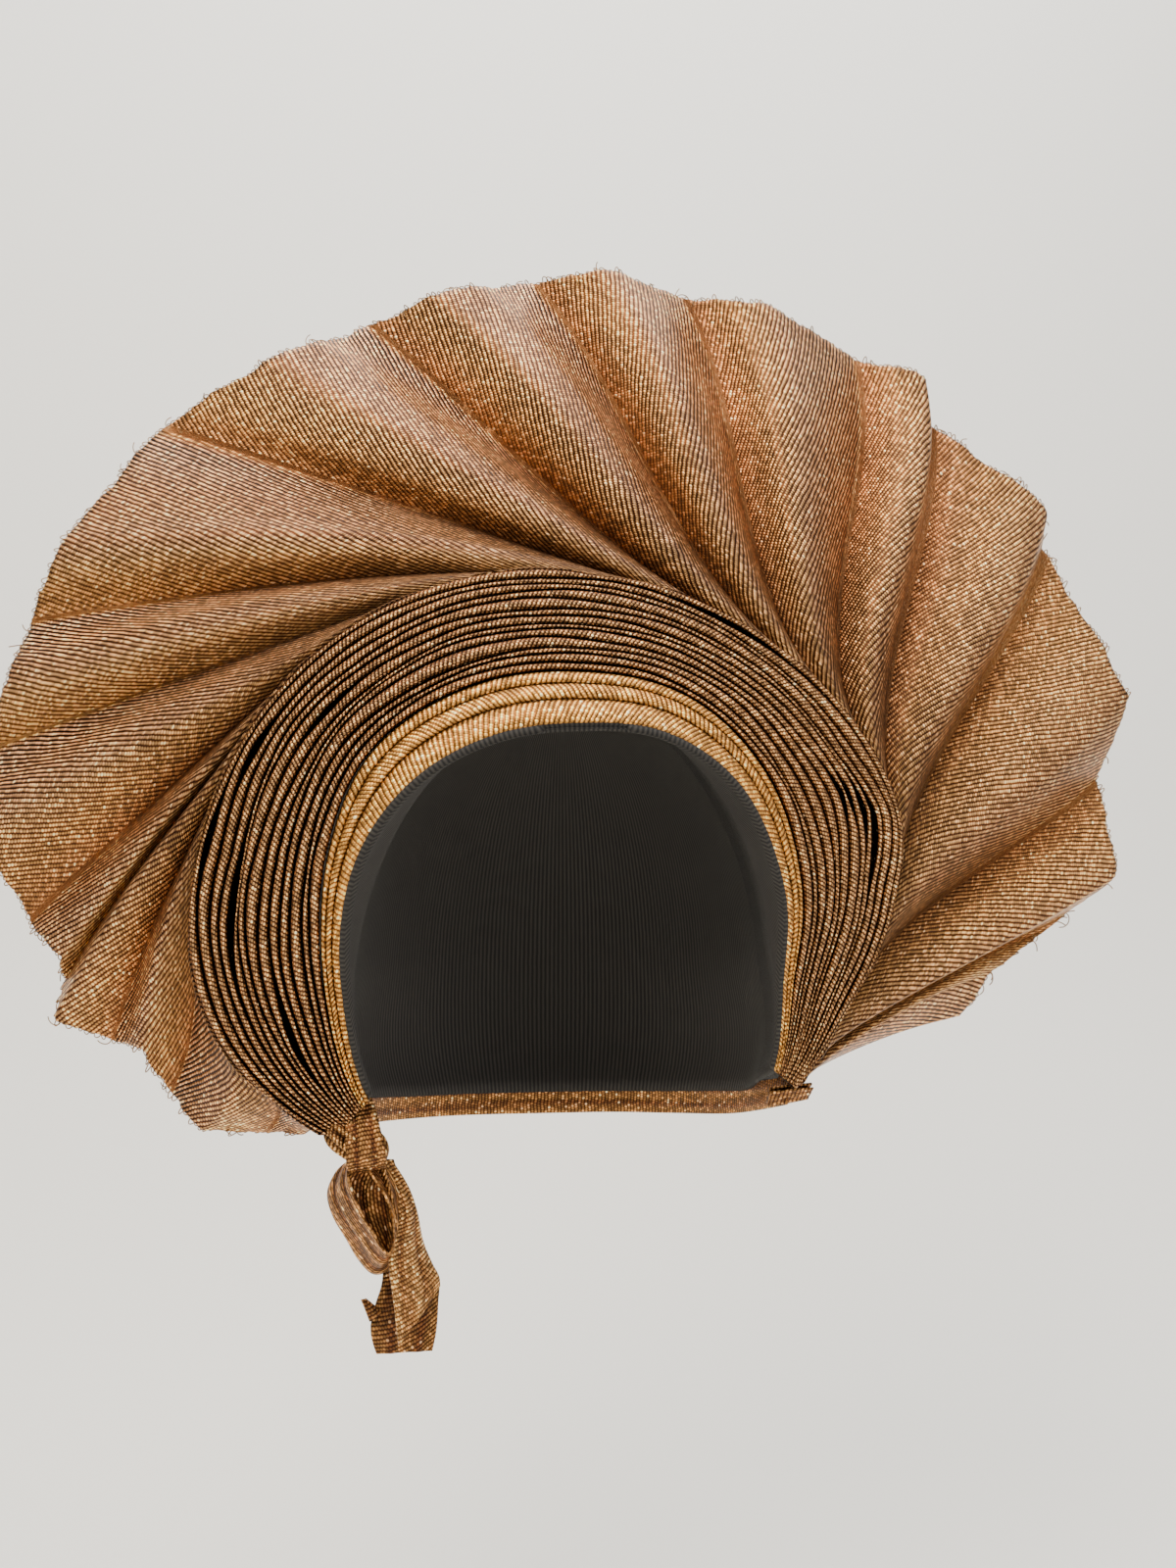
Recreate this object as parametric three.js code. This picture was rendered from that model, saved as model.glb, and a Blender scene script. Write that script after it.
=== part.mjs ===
// A tied gele: one long cloth of copper lurex, pleated round the face and fanned out
// above the head, over a black stretch cap and knotted beside the left jaw.
// Millimetres, +Z up, the face looks along -Y. The origin is the crown seat, where the
// top of the head touches the inside of the cap.
import * as THREE from 'three';

// Cloth and clearances
const GAP = 0.3;
const CLOTH_WALL = 1.6;
const CAP_WALL = 1.5;
const TIE_WALL = 2.0;

// The head space that the cap is stretched over, as half widths of an ellipsoid
const HEAD_HALF_X = 76;
const HEAD_HALF_Y = 98;
const HEAD_HALF_Z = 111;

// Ring of pleats. Turns are degrees round RING_CENTRE_Z, from +X, over the top, to -X.
const RING_CENTRE_Z = -80;
const RING_START = -38;
const RING_END = 225;
const RING_STEPS = 33;
const BROW_FOLDS = 3;
const PLEATS = 13;
const BROW_WALL = 2.0;
const PLEAT_ROUND = 1.1;
const RING_SECTIONS = [
  { turn: -38, rim: 98, rimY: -15, outer: 117, outerY: -12, brow: 0.19, deep: 8 },
  { turn: -20, rim: 82, rimY: -29, outer: 116, outerY: -13, brow: 0.15, deep: 12 },
  { turn: 0, rim: 75, rimY: -41, outer: 125, outerY: -16, brow: 0.15, deep: 15 },
  { turn: 15, rim: 71, rimY: -48, outer: 131, outerY: -20, brow: 0.16, deep: 16 },
  { turn: 38, rim: 68, rimY: -55, outer: 125, outerY: -28, brow: 0.22, deep: 17 },
  { turn: 62, rim: 64, rimY: -60, outer: 119, outerY: -34, brow: 0.3, deep: 18 },
  { turn: 90, rim: 59, rimY: -64, outer: 118, outerY: -38, brow: 0.32, deep: 18 },
  { turn: 118, rim: 62, rimY: -60, outer: 122, outerY: -34, brow: 0.32, deep: 18 },
  { turn: 145, rim: 68, rimY: -55, outer: 126, outerY: -28, brow: 0.3, deep: 17 },
  { turn: 168, rim: 74, rimY: -47, outer: 129, outerY: -20, brow: 0.19, deep: 16 },
  { turn: 188, rim: 79, rimY: -38, outer: 132, outerY: -15, brow: 0.13, deep: 15 },
  { turn: 205, rim: 85, rimY: -27, outer: 128, outerY: -13, brow: 0.14, deep: 12 },
  { turn: 225, rim: 97, rimY: -15, outer: 115, outerY: -12, brow: 0.19, deep: 8 },
];

// Visible widths of the brow folds, from the rim outwards, as shares of their band
const BROW_SHARES = [0.48, 0.3, 0.22];

// Folds of the fan, clockwise from the lobe under the left ear to the right gather.
// A crest meets the free edge at turn and reach and leaves the ring at join, lean is how
// far it swirls from the radial line there, hug is the share of its run that follows the
// ring, and dip is the valley that follows it.
const FAN_FOLDS = [
  { turn: 222, reach: 124, join: 223, lean: 0, rise: 2, hug: 0.2, dipTurn: 218, dipReach: 136 },
  { turn: 212, reach: 152, join: 203, lean: 5, rise: 4, hug: 0.3, dipTurn: 206, dipReach: 158 },
  { turn: 199, reach: 159, join: 160, lean: 62, rise: 5, hug: 0.36, dipTurn: 197, dipReach: 170 },
  { turn: 193, reach: 185, join: 149, lean: 52, rise: 3, hug: 0.36, dipTurn: 189, dipReach: 184 },
  { turn: 186, reach: 181, join: 140, lean: 48, rise: 6, hug: 0.36, dipTurn: 182, dipReach: 194 },
  { turn: 173, reach: 211, join: 124, lean: 36, rise: 6, hug: 0.36, dipTurn: 165, dipReach: 219 },
  { turn: 159, reach: 219, join: 97, lean: 37, rise: 6, hug: 0.36, dipTurn: 152, dipReach: 226 },
  { turn: 146, reach: 229, join: 70, lean: 38, rise: 7, hug: 0.36, dipTurn: 130, dipReach: 243 },
  { turn: 118, reach: 239, join: 56, lean: 28, rise: 9, hug: 0.36, dipTurn: 108, dipReach: 246 },
  { turn: 101, reach: 248, join: 45, lean: 36, rise: 8, hug: 0.36, dipTurn: 92, dipReach: 258 },
  { turn: 86, reach: 259, join: 35, lean: 36, rise: 8, hug: 0.36, dipTurn: 78, dipReach: 262 },
  { turn: 71, reach: 263, join: 26, lean: 38, rise: 8, hug: 0.36, dipTurn: 61, dipReach: 268 },
  { turn: 55, reach: 271, join: 18, lean: 40, rise: 7, hug: 0.36, dipTurn: 52, dipReach: 263 },
  { turn: 39, reach: 267, join: 7, lean: 36, rise: 7, hug: 0.36, dipTurn: 36, dipReach: 262 },
  { turn: 20, reach: 256, join: -10, lean: 27, rise: 7, hug: 0.3, dipTurn: 13, dipReach: 238 },
  { turn: 3, reach: 232, join: -30, lean: 25, rise: 6, hug: 0.1, dipTurn: -1, dipReach: 213 },
  { turn: -9, reach: 177, join: -36, lean: 20, rise: 3, hug: 0.08, dipTurn: -15, dipReach: 172 },
];
const FAN_EDGE_Y = 16;
const FAN_ROOT_Y = 5;
const FAN_ROOT_RISE = 1.2;
const FAN_CLEAR = 0.6;
const FAN_LAST_JOIN = -38;
const FAN_LINE_STEPS = 9;
const FAN_HALF_FOLD_STEPS = 3;
const FAN_EDGE_PULL = 0.34;

// Lower edge of the cap: down the rim at the front, level with the nape behind
const CAP_AROUND = 44;
const CAP_ROWS = 8;
const CAP_FLARE_FROM = 0.7;
const CAP_INSET = 1.4;
const CAP_BROW_INSET = 1.0;
const CAP_TUCK = 0.5;
const NAPE_EDGE = [
  { turn: -38, x: 76, y: -2, z: -144 },
  { turn: -52, x: 74, y: 22, z: -150 },
  { turn: -70, x: 50, y: 65, z: -156 },
  { turn: -90, x: 0, y: 88, z: -160 },
  { turn: -110, x: -50, y: 65, z: -156 },
  { turn: -124, x: -74, y: 22, z: -150 },
  { turn: -135, x: -76, y: -2, z: -144 },
];

// Knot and tie ends at the left gather, the stub at the right one, and the tie round the
// nape between them
const KNOT = { x: -72, y: -9, z: -164, along: 22, deep: 14, high: 15, turn: 42 };
const BAND_CROWN = 0.3;
const TIE_LOOP = [
  { x: -73, y: -6, z: -174, wide: 9, turn: 0, lie: 90 },
  { x: -79, y: -5, z: -177, wide: 12, turn: 0, lie: 90 },
  { x: -81, y: -4, z: -185, wide: 14, turn: 0, lie: 90 },
  { x: -77, y: -4, z: -196, wide: 14, turn: 0, lie: 90 },
  { x: -72, y: -3, z: -206, wide: 13, turn: 0, lie: 90 },
  { x: -67, y: -3, z: -208, wide: 12, turn: 0, lie: 90 },
  { x: -62, y: -3, z: -203, wide: 13, turn: 0, lie: 90 },
  { x: -61, y: -4, z: -192, wide: 13, turn: 0, lie: 90 },
  { x: -63, y: -5, z: -182, wide: 11, turn: 0, lie: 90 },
  { x: -67, y: -6, z: -176, wide: 9, turn: 0, lie: 90 },
];
const TIE_TAIL = [
  { x: -69, y: -2, z: -170, wide: 9, turn: 0, lie: 0 },
  { x: -64, y: 5, z: -178, wide: 12, turn: 0, lie: 0 },
  { x: -59, y: 8, z: -192, wide: 15, turn: 5, lie: 0 },
  { x: -56, y: 9, z: -206, wide: 18, turn: 8, lie: 0 },
  { x: -54, y: 8, z: -220, wide: 21, turn: 6, lie: 0 },
  { x: -56, y: 6, z: -231, wide: 24, turn: 2, lie: 0 },
  { x: -57, y: 5, z: -238, wide: 23, turn: 0, lie: 0 },
];
const TIE_END = [
  { x: 79, y: -1, z: -152, wide: 6, turn: 90, lie: 0 },
  { x: 86, y: -2, z: -154, wide: 6, turn: 88, lie: 0 },
  { x: 94, y: -3, z: -155, wide: 6, turn: 84, lie: 0 },
];
const NAPE_TIE = [
  { x: 85, y: 1, z: -150, wide: 11, turn: 90, lie: 0 },
  { x: 82, y: 19, z: -154, wide: 12, turn: 90, lie: 0 },
  { x: 75, y: 40, z: -158, wide: 13, turn: 90, lie: 0 },
  { x: 60, y: 66, z: -161, wide: 14, turn: 90, lie: 0 },
  { x: 34, y: 86, z: -163, wide: 14, turn: 90, lie: 0 },
  { x: 0, y: 93, z: -164, wide: 14, turn: 90, lie: 0 },
  { x: -34, y: 86, z: -163, wide: 14, turn: 90, lie: 0 },
  { x: -60, y: 66, z: -161, wide: 14, turn: 90, lie: 0 },
  { x: -75, y: 40, z: -159, wide: 13, turn: 90, lie: 0 },
  { x: -80, y: 19, z: -159, wide: 12, turn: 90, lie: 0 },
  { x: -78, y: 1, z: -162, wide: 11, turn: 90, lie: 0 },
];

const RAD = Math.PI / 180;
const lerp = (a, b, t) => a + (b - a) * t;
const clamp01 = (t) => Math.min(1, Math.max(0, t));
const smooth = (t) => clamp01(t) * clamp01(t) * (3 - 2 * clamp01(t));

// Value of one column of a table at a turn, on a smooth curve through its rows
function column(rows, name, turn) {
  const way = Math.sign(rows[1].turn - rows[0].turn);
  let i = 0;
  while (i < rows.length - 2 && (turn - rows[i + 1].turn) * way > 0) i += 1;
  const p = [i - 1, i, i + 1, i + 2].map((k) => rows[Math.min(rows.length - 1, Math.max(0, k))]);
  const t = clamp01((turn - p[1].turn) / (p[2].turn - p[1].turn));
  const slope = (a, b) => (b[name] - a[name]) / (b.turn - a.turn || 1);
  const span = p[2].turn - p[1].turn;
  const m1 = slope(p[0], p[2]) * span;
  const m2 = slope(p[1], p[3]) * span;
  const t2 = t * t;
  const t3 = t2 * t;
  return (
    (2 * t3 - 3 * t2 + 1) * p[1][name] + (t3 - 2 * t2 + t) * m1 +
    (3 * t2 - 2 * t3) * p[2][name] + (t3 - t2) * m2
  );
}

// A point at a turn and reach round the ring centre
function aroundRing(turn, reach, y) {
  return new THREE.Vector3(
    reach * Math.cos(turn * RAD), y, RING_CENTRE_Z + reach * Math.sin(turn * RAD));
}

// Closed solid from rings of points of equal count: walls between them and two flat ends
function loft(rings) {
  const n = rings[0].length;
  const points = rings.flat();
  const faces = [];
  for (let i = 0; i < rings.length - 1; i += 1) {
    for (let j = 0; j < n; j += 1) {
      const a = i * n + j;
      const b = i * n + ((j + 1) % n);
      faces.push([a, b, b + n], [a, b + n, a + n]);
    }
  }
  const last = (rings.length - 1) * n;
  for (let j = 1; j < n - 1; j += 1) {
    faces.push([0, j + 1, j], [last, last + j, last + j + 1]);
  }
  return solid(points, faces);
}

// Closed wall between two sheets of points, joined along their four borders
function wall(front, back) {
  const rows = front.length;
  const cols = front[0].length;
  const half = rows * cols;
  const faces = [];
  const quad = (a, b, c, d) => faces.push([a, b, c], [a, c, d]);
  const border = (a, b) => quad(a, b, half + b, half + a);
  for (let i = 0; i < rows - 1; i += 1) {
    for (let j = 0; j < cols - 1; j += 1) {
      const a = i * cols + j;
      quad(a, a + 1, a + 1 + cols, a + cols);
      quad(half + a, half + a + cols, half + a + 1 + cols, half + a + 1);
    }
    border(i * cols, (i + 1) * cols);
    border((i + 2) * cols - 1, (i + 1) * cols - 1);
  }
  for (let j = 0; j < cols - 1; j += 1) {
    border(j + 1, j);
    border((rows - 1) * cols + j, (rows - 1) * cols + j + 1);
  }
  return solid([...front.flat(), ...back.flat()], faces);
}

// Geometry of a closed body, turned so that its faces point outwards
function solid(points, faces) {
  let volume = 0;
  const cross = new THREE.Vector3();
  for (const [a, b, c] of faces) {
    volume += points[a].dot(cross.crossVectors(points[b], points[c]));
  }
  const geometry = new THREE.BufferGeometry();
  geometry.setAttribute(
    'position', new THREE.Float32BufferAttribute(points.flatMap((p) => [p.x, p.y, p.z]), 3));
  geometry.setIndex((volume < 0 ? faces.map(([a, b, c]) => [a, c, b]) : faces).flat());
  geometry.computeVertexNormals();
  return geometry;
}

// Copper lurex cloth, lighter on the brow folds than down in the pleats
const gele = new THREE.Group();
const cloth = (color) => new THREE.MeshStandardMaterial({ color, roughness: 0.42, metalness: 0.6 });
const BROW_COPPER = '#D9A867';
const PLEAT_COPPER = '#A9703D';
const FAN_COPPER = '#B87B45';

function add(name, geometry, material) {
  const mesh = new THREE.Mesh(geometry, material);
  mesh.name = name;
  gele.add(mesh);
}

// Where the ring's visible face lies at a turn, at a share of its width from rim to outer
function ringFace(turn, share) {
  const reach = lerp(column(RING_SECTIONS, 'rim', turn), column(RING_SECTIONS, 'outer', turn), share);
  const y = lerp(column(RING_SECTIONS, 'rimY', turn), column(RING_SECTIONS, 'outerY', turn), share);
  return { reach, y };
}

function ringTurns() {
  return Array.from({ length: RING_STEPS + 1 }, (_, i) => lerp(RING_START, RING_END, i / RING_STEPS));
}

// Brow folds: flat bands that lap up the forehead, each one cloth fold thick
function browFold(index) {
  const from = BROW_SHARES.slice(0, index).reduce((a, b) => a + b, 0);
  const to = from + BROW_SHARES[index];
  return loft(ringTurns().map((turn) => {
    const band = column(RING_SECTIONS, 'brow', turn);
    const a = ringFace(turn, band * from);
    const b = ringFace(turn, band * to);
    const width = Math.hypot(b.reach - a.reach, b.y - a.y);
    const along = { reach: (b.reach - a.reach) / width, y: (b.y - a.y) / width };
    const at = (run, back) => aroundRing(
      turn, a.reach + along.reach * run - along.y * back, a.y + along.y * run + along.reach * back);
    const end = width - GAP;
    return [
      at(0, BROW_WALL), at(0, BROW_WALL * 0.35), at(width * 0.5, 0), at(end, BROW_WALL * 0.35),
      at(end, BROW_WALL),
    ];
  }));
}

// Pleats: narrow doubled folds on edge, their rounded fold to the front
function pleat(index) {
  return loft(ringTurns().map((turn) => {
    const band = column(RING_SECTIONS, 'brow', turn);
    const deep = column(RING_SECTIONS, 'deep', turn);
    const a = ringFace(turn, lerp(band, 1, index / PLEATS));
    const b = ringFace(turn, lerp(band, 1, (index + 1) / PLEATS));
    const width = b.reach - a.reach - GAP;
    const round = Math.min(PLEAT_ROUND, width * 0.5);
    const at = (run, back) => aroundRing(turn, a.reach + run, a.y + back);
    return [at(0, deep), at(0, round), at(width * 0.5, 0), at(width, round), at(width, deep)];
  }));
}

const browCloth = cloth(BROW_COPPER);
const pleatCloth = cloth(PLEAT_COPPER);
const fanCloth = cloth(FAN_COPPER);
for (let i = 0; i < BROW_FOLDS; i += 1) add(`brow_fold_${i + 1}`, browFold(i), browCloth);
for (let i = 0; i < PLEATS; i += 1) {
  add(`pleat_${String(i + 1).padStart(2, '0')}`, pleat(i), pleatCloth);
}

// Fan: one folded sheet. Its fold lines leave the ring along the pleats and swirl out.
function fanLines() {
  const lines = [];
  FAN_FOLDS.forEach((fold, i) => {
    const next = FAN_FOLDS[i + 1];
    lines.push(fold);
    lines.push({
      turn: fold.dipTurn,
      reach: fold.dipReach,
      join: next ? lerp(fold.join, next.join, 0.5) : FAN_LAST_JOIN,
      lean: next ? lerp(fold.lean, next.lean, 0.5) : fold.lean,
      hug: fold.hug,
      rise: -(next ? lerp(fold.rise, next.rise, 0.5) : fold.rise),
    });
  });
  return lines;
}

function fanPoint(line, t) {
  const root = ringFace(line.join, 1);
  const start = aroundRing(line.join, root.reach + GAP, root.y + FAN_ROOT_Y);
  const edge = aroundRing(line.turn, line.reach, FAN_EDGE_Y);
  const span = start.distanceTo(edge);
  const ahead = line.join + 1;
  const along = aroundRing(ahead, ringFace(ahead, 1).reach, 0)
    .sub(aroundRing(line.join, root.reach, 0)).normalize();
  const outwards = new THREE.Vector3(
    Math.cos((line.turn + line.lean) * RAD), 0, Math.sin((line.turn + line.lean) * RAD));
  const curve = new THREE.CubicBezierCurve3(
    start,
    start.clone().addScaledVector(along, span * line.hug),
    edge.clone().addScaledVector(outwards, -span * FAN_EDGE_PULL),
    edge,
  );
  const point = curve.getPoint(t);
  point.y = lerp(start.y, edge.y, t);
  return point;
}

// The sheet's point with its fold raised, kept just outside the outermost pleat
function clearOfRing(point, rise) {
  const turn = (Math.atan2(point.z - RING_CENTRE_Z, point.x) / RAD + 450) % 360 - 90;
  const reach = Math.hypot(point.x, point.z - RING_CENTRE_Z);
  const clear = turn < RING_START || turn > RING_END ? 0 : ringFace(turn, 1).reach + FAN_CLEAR;
  return aroundRing(turn, Math.max(reach, clear), point.y - rise);
}

function fan() {
  const lines = fanLines();
  const grid = [];
  for (let k = 0; k < lines.length; k += 1) {
    const next = lines[k + 1];
    const steps = next ? FAN_HALF_FOLD_STEPS : 1;
    for (let s = 0; s < steps; s += 1) {
      const u = s / FAN_HALF_FOLD_STEPS;
      const row = [];
      for (let i = 0; i <= FAN_LINE_STEPS; i += 1) {
        const t = i / FAN_LINE_STEPS;
        const size = lerp(FAN_ROOT_RISE / Math.abs(lines[k].rise), 1, smooth(t * 1.6));
        const a = fanPoint(lines[k], t);
        const b = next ? fanPoint(next, t) : a;
        const rise = lerp(lines[k].rise, next ? next.rise : 0, smooth(u)) * size;
        row.push(clearOfRing(a.clone().lerp(b, u), rise));
      }
      grid.push(row);
    }
  }
  const back = grid.map((row) => row.map((p) => new THREE.Vector3(p.x, p.y + CLOTH_WALL, p.z)));
  return wall(grid, back);
}
add('fan', fan(), fanCloth);

// Inner cap: a stretch cap over the crown, from just inside the rim to the nape
function capEdge(k) {
  const turn = lerp(RING_START, RING_START + 360, k / CAP_AROUND);
  if (turn <= RING_END) {
    const face = ringFace(turn, 0);
    const inset = CAP_INSET + CAP_BROW_INSET * Math.max(0, Math.sin(turn * RAD)) ** 2;
    return aroundRing(turn, face.reach - inset, face.y + CAP_TUCK);
  }
  const behind = turn - 360;
  return new THREE.Vector3(...['x', 'y', 'z'].map((axis) => column(NAPE_EDGE, axis, behind)));
}

function capSheet(offset) {
  const centre = new THREE.Vector3(0, 0, -HEAD_HALF_Z);
  const radius = (d) => 1 / Math.hypot(
    d.x / (HEAD_HALF_X + offset), d.y / (HEAD_HALF_Y + offset), d.z / (HEAD_HALF_Z + offset));
  const rows = [];
  for (let i = 1; i <= CAP_ROWS; i += 1) {
    const s = i / CAP_ROWS;
    const flare = smooth((s - CAP_FLARE_FROM) / (1 - CAP_FLARE_FROM));
    const row = [];
    for (let k = 0; k < CAP_AROUND; k += 1) {
      const toEdge = capEdge(k).sub(centre);
      const reach = toEdge.length() - CAP_WALL + offset;
      const swing = Math.acos(toEdge.z / toEdge.length());
      const way = new THREE.Vector3(toEdge.x, toEdge.y, 0).normalize();
      way.multiplyScalar(Math.sin(swing * s)).setZ(Math.cos(swing * s));
      row.push(way.clone().multiplyScalar(lerp(radius(way), reach, flare)).add(centre));
    }
    rows.push(row);
  }
  return rows;
}

// Closed dome wall: two sheets of rings round a crown point each, joined at their edge
function dome(outer, inner, outerCrown, innerCrown) {
  const cols = outer[0].length;
  const rows = outer.length;
  const half = rows * cols;
  const points = [...outer.flat(), ...inner.flat(), outerCrown, innerCrown];
  const faces = [];
  for (let j = 0; j < cols; j += 1) {
    const k = (j + 1) % cols;
    faces.push([2 * half, j, k], [2 * half + 1, half + k, half + j]);
    for (let i = 0; i < rows - 1; i += 1) {
      const [a, b, c, d] = [i * cols + j, i * cols + k, (i + 1) * cols + k, (i + 1) * cols + j];
      faces.push([a, d, c], [a, c, b]);
      faces.push([half + a, half + c, half + d], [half + a, half + b, half + c]);
    }
    const [a, b] = [(rows - 1) * cols + j, (rows - 1) * cols + k];
    faces.push([a, half + a, half + b], [a, half + b, b]);
  }
  return solid(points, faces);
}
const capCloth = new THREE.MeshStandardMaterial({ color: '#15130F', roughness: 0.9, metalness: 0 });
add('inner_cap', dome(
  capSheet(CAP_WALL), capSheet(0), new THREE.Vector3(0, 0, CAP_WALL), new THREE.Vector3(0, 0, 0)),
capCloth);

// A flat band of cloth along the rows of a table, each with its middle, its width and the
// turn of that width: 0 lies along X, 90 stands up along Z, and lie swings it towards Y
function band(rows, thick) {
  const middles = rows.map((row) => new THREE.Vector3(row.x, row.y, row.z));
  return loft(rows.map((row, i) => {
    const run = middles[Math.min(rows.length - 1, i + 1)].clone()
      .sub(middles[Math.max(0, i - 1)]).normalize();
    const across = new THREE.Vector3(
      Math.cos(row.turn * RAD) * Math.cos(row.lie * RAD),
      Math.sin(row.lie * RAD),
      Math.sin(row.turn * RAD) * Math.cos(row.lie * RAD));
    across.addScaledVector(run, -across.dot(run)).normalize();
    const face = new THREE.Vector3().crossVectors(run, across);
    const at = (u, v) => middles[i].clone()
      .addScaledVector(across, u * row.wide).addScaledVector(face, v * thick);
    return [at(-0.5, -0.5), at(0, -0.5 - BAND_CROWN), at(0.5, -0.5), at(0.5, 0.5),
      at(0, 0.5 - BAND_CROWN), at(-0.5, 0.5)];
  }));
}

// Side knot: the tie ends pulled into a firm lump right under the left gather
function sideKnot() {
  const knot = new THREE.SphereGeometry(1, 16, 12);
  knot.scale(KNOT.along / 2, KNOT.deep / 2, KNOT.high / 2);
  knot.rotateY(-KNOT.turn * RAD);
  knot.translate(KNOT.x, KNOT.y, KNOT.z);
  return knot;
}
const tieCloth = cloth(FAN_COPPER);
add('side_knot', sideKnot(), tieCloth);
add('tie_loop', band(TIE_LOOP, TIE_WALL), tieCloth);
add('tie_tail', band(TIE_TAIL, TIE_WALL), tieCloth);
add('tie_end', band(TIE_END, TIE_WALL), tieCloth);
add('nape_tie', band(NAPE_TIE, TIE_WALL), tieCloth);

export default gele;
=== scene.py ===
"""The tied gele's looks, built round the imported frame, in metres."""
import math
import random

import bpy
import numpy as np
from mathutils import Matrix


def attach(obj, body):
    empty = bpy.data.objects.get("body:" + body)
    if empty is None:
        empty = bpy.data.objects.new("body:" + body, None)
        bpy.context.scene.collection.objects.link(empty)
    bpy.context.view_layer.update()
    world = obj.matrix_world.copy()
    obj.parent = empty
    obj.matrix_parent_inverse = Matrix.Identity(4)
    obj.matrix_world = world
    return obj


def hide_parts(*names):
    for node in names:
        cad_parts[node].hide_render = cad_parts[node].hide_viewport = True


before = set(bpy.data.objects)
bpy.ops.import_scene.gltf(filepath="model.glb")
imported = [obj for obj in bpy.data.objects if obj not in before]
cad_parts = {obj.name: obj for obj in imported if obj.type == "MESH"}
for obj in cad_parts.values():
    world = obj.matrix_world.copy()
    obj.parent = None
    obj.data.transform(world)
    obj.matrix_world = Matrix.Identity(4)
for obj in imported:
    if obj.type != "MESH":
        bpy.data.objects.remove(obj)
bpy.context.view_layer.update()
for loaded in bpy.context.selected_objects:
    loaded.select_set(False)

# Camera
# A phone's main camera held in front of the brow, a little to the viewer's left, and
# tipped up. It stands at the photograph's angle, so the wide field is part of the look.
MM = 0.001
VIEW_TURN = math.radians(8)
VIEW_TIP = math.radians(6.5)
VIEW_DISTANCE = 445 * MM
VIEW_SIDE = 10.5 * MM
VIEW_HEIGHT = -85 * MM

camera = bpy.data.objects.new("camera", bpy.data.cameras.new("camera"))
bpy.context.collection.objects.link(camera)
camera.data.sensor_fit = "VERTICAL"
camera.data.sensor_height = 36
camera.data.lens = 27
camera.data.clip_start = 0.01
camera.location = (
    VIEW_SIDE - VIEW_DISTANCE * math.sin(VIEW_TURN),
    -VIEW_DISTANCE * math.cos(VIEW_TURN),
    VIEW_HEIGHT,
)
camera.rotation_euler = (math.pi / 2 + VIEW_TIP, 0, -VIEW_TURN)
bpy.context.scene.camera = camera


# Floor and light
# A pale sweep: a floor that curves up into a wall, well below and behind the gele, under
# a broad soft light from the upper left and a weaker one from the right.
def linear(code):
    """Linear colour of an sRGB hex value."""
    parts = [int(code[i:i + 2], 16) / 255 for i in (1, 3, 5)]
    return [c / 12.92 if c <= 0.04045 else ((c + 0.055) / 1.055) ** 2.4 for c in parts] + [1.0]


def node(tree, kind, inputs=None, **settings):
    """A node with its settings, its inputs set to values or linked to sockets."""
    made = tree.nodes.new(kind)
    for key, value in settings.items():
        setattr(made, key, value)
    for socket, value in (inputs or {}).items():
        if isinstance(value, bpy.types.NodeSocket):
            tree.links.new(value, made.inputs[socket])
        else:
            made.inputs[socket].default_value = value
    return made


def material(name):
    """An empty node material and its tree."""
    made = bpy.data.materials.new(name)
    made.use_nodes = True
    made.node_tree.nodes.clear()
    return made, made.node_tree


SWEEP_FLOOR = -0.46
SWEEP_WALL = 0.75
SWEEP_BEND = 0.5
SWEEP_FRONT = -1.6
SWEEP_TOP = 1.9
SWEEP_HALF = 2.2
profile = [(SWEEP_FRONT, SWEEP_FLOOR)]
for step in range(13):
    a = math.radians(90 * step / 12)
    profile.append((
        SWEEP_WALL - SWEEP_BEND + SWEEP_BEND * math.sin(a),
        SWEEP_FLOOR + SWEEP_BEND - SWEEP_BEND * math.cos(a),
    ))
profile.append((SWEEP_WALL, SWEEP_TOP))
mesh = bpy.data.meshes.new("sweep")
mesh.from_pydata(
    [(x, y, z) for x in (-SWEEP_HALF, SWEEP_HALF) for y, z in profile], [],
    [(i, i + len(profile), i + len(profile) + 1, i + 1) for i in range(len(profile) - 1)])
sweep = bpy.data.objects.new("sweep", mesh)
bpy.context.collection.objects.link(sweep)
for face in mesh.polygons:
    face.use_smooth = True
paint, tree = material("matt_wall_paint")
shader = node(tree, "ShaderNodeBsdfPrincipled", {
    "Base Color": linear("#F5F3EC"), "Roughness": 0.85})
node(tree, "ShaderNodeOutputMaterial", {"Surface": shader.outputs[0]})
mesh.materials.append(paint)

LIGHTS = [
    {"name": "key", "at": (-0.6, -0.9, 1.15), "aim": (0, 0, 0), "size": 0.8, "watts": 24,
     "colour": "#FFF6EA"},
    {"name": "fill", "at": (1.1, -0.9, 0.25), "aim": (0, 0, 0), "size": 1.1, "watts": 6.8,
     "colour": "#F6F6FF"},
    {"name": "wall", "at": (0.15, 0.0, 1.6), "aim": (0.2, 0.9, -0.7), "size": 1.8, "watts": 46,
     "colour": "#FFFFFF"},
]
for row in LIGHTS:
    lamp = bpy.data.lights.new(row["name"], "AREA")
    lamp.size = row["size"]
    lamp.energy = row["watts"]
    lamp.color = linear(row["colour"])[:3]
    light = bpy.data.objects.new(row["name"], lamp)
    bpy.context.collection.objects.link(light)
    light.location = row["at"]
    x, y, z = np.array(row["aim"]) - np.array(row["at"])
    light.rotation_euler = (math.acos(-z / math.sqrt(x * x + y * y + z * z)), 0,
                            math.atan2(-x, y))
world = bpy.data.worlds.new("studio")
bpy.context.scene.world = world
world.use_nodes = True
world.node_tree.nodes["Background"].inputs["Color"].default_value = linear("#E6E4E0")
world.node_tree.nodes["Background"].inputs["Strength"].default_value = 0.54


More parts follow.
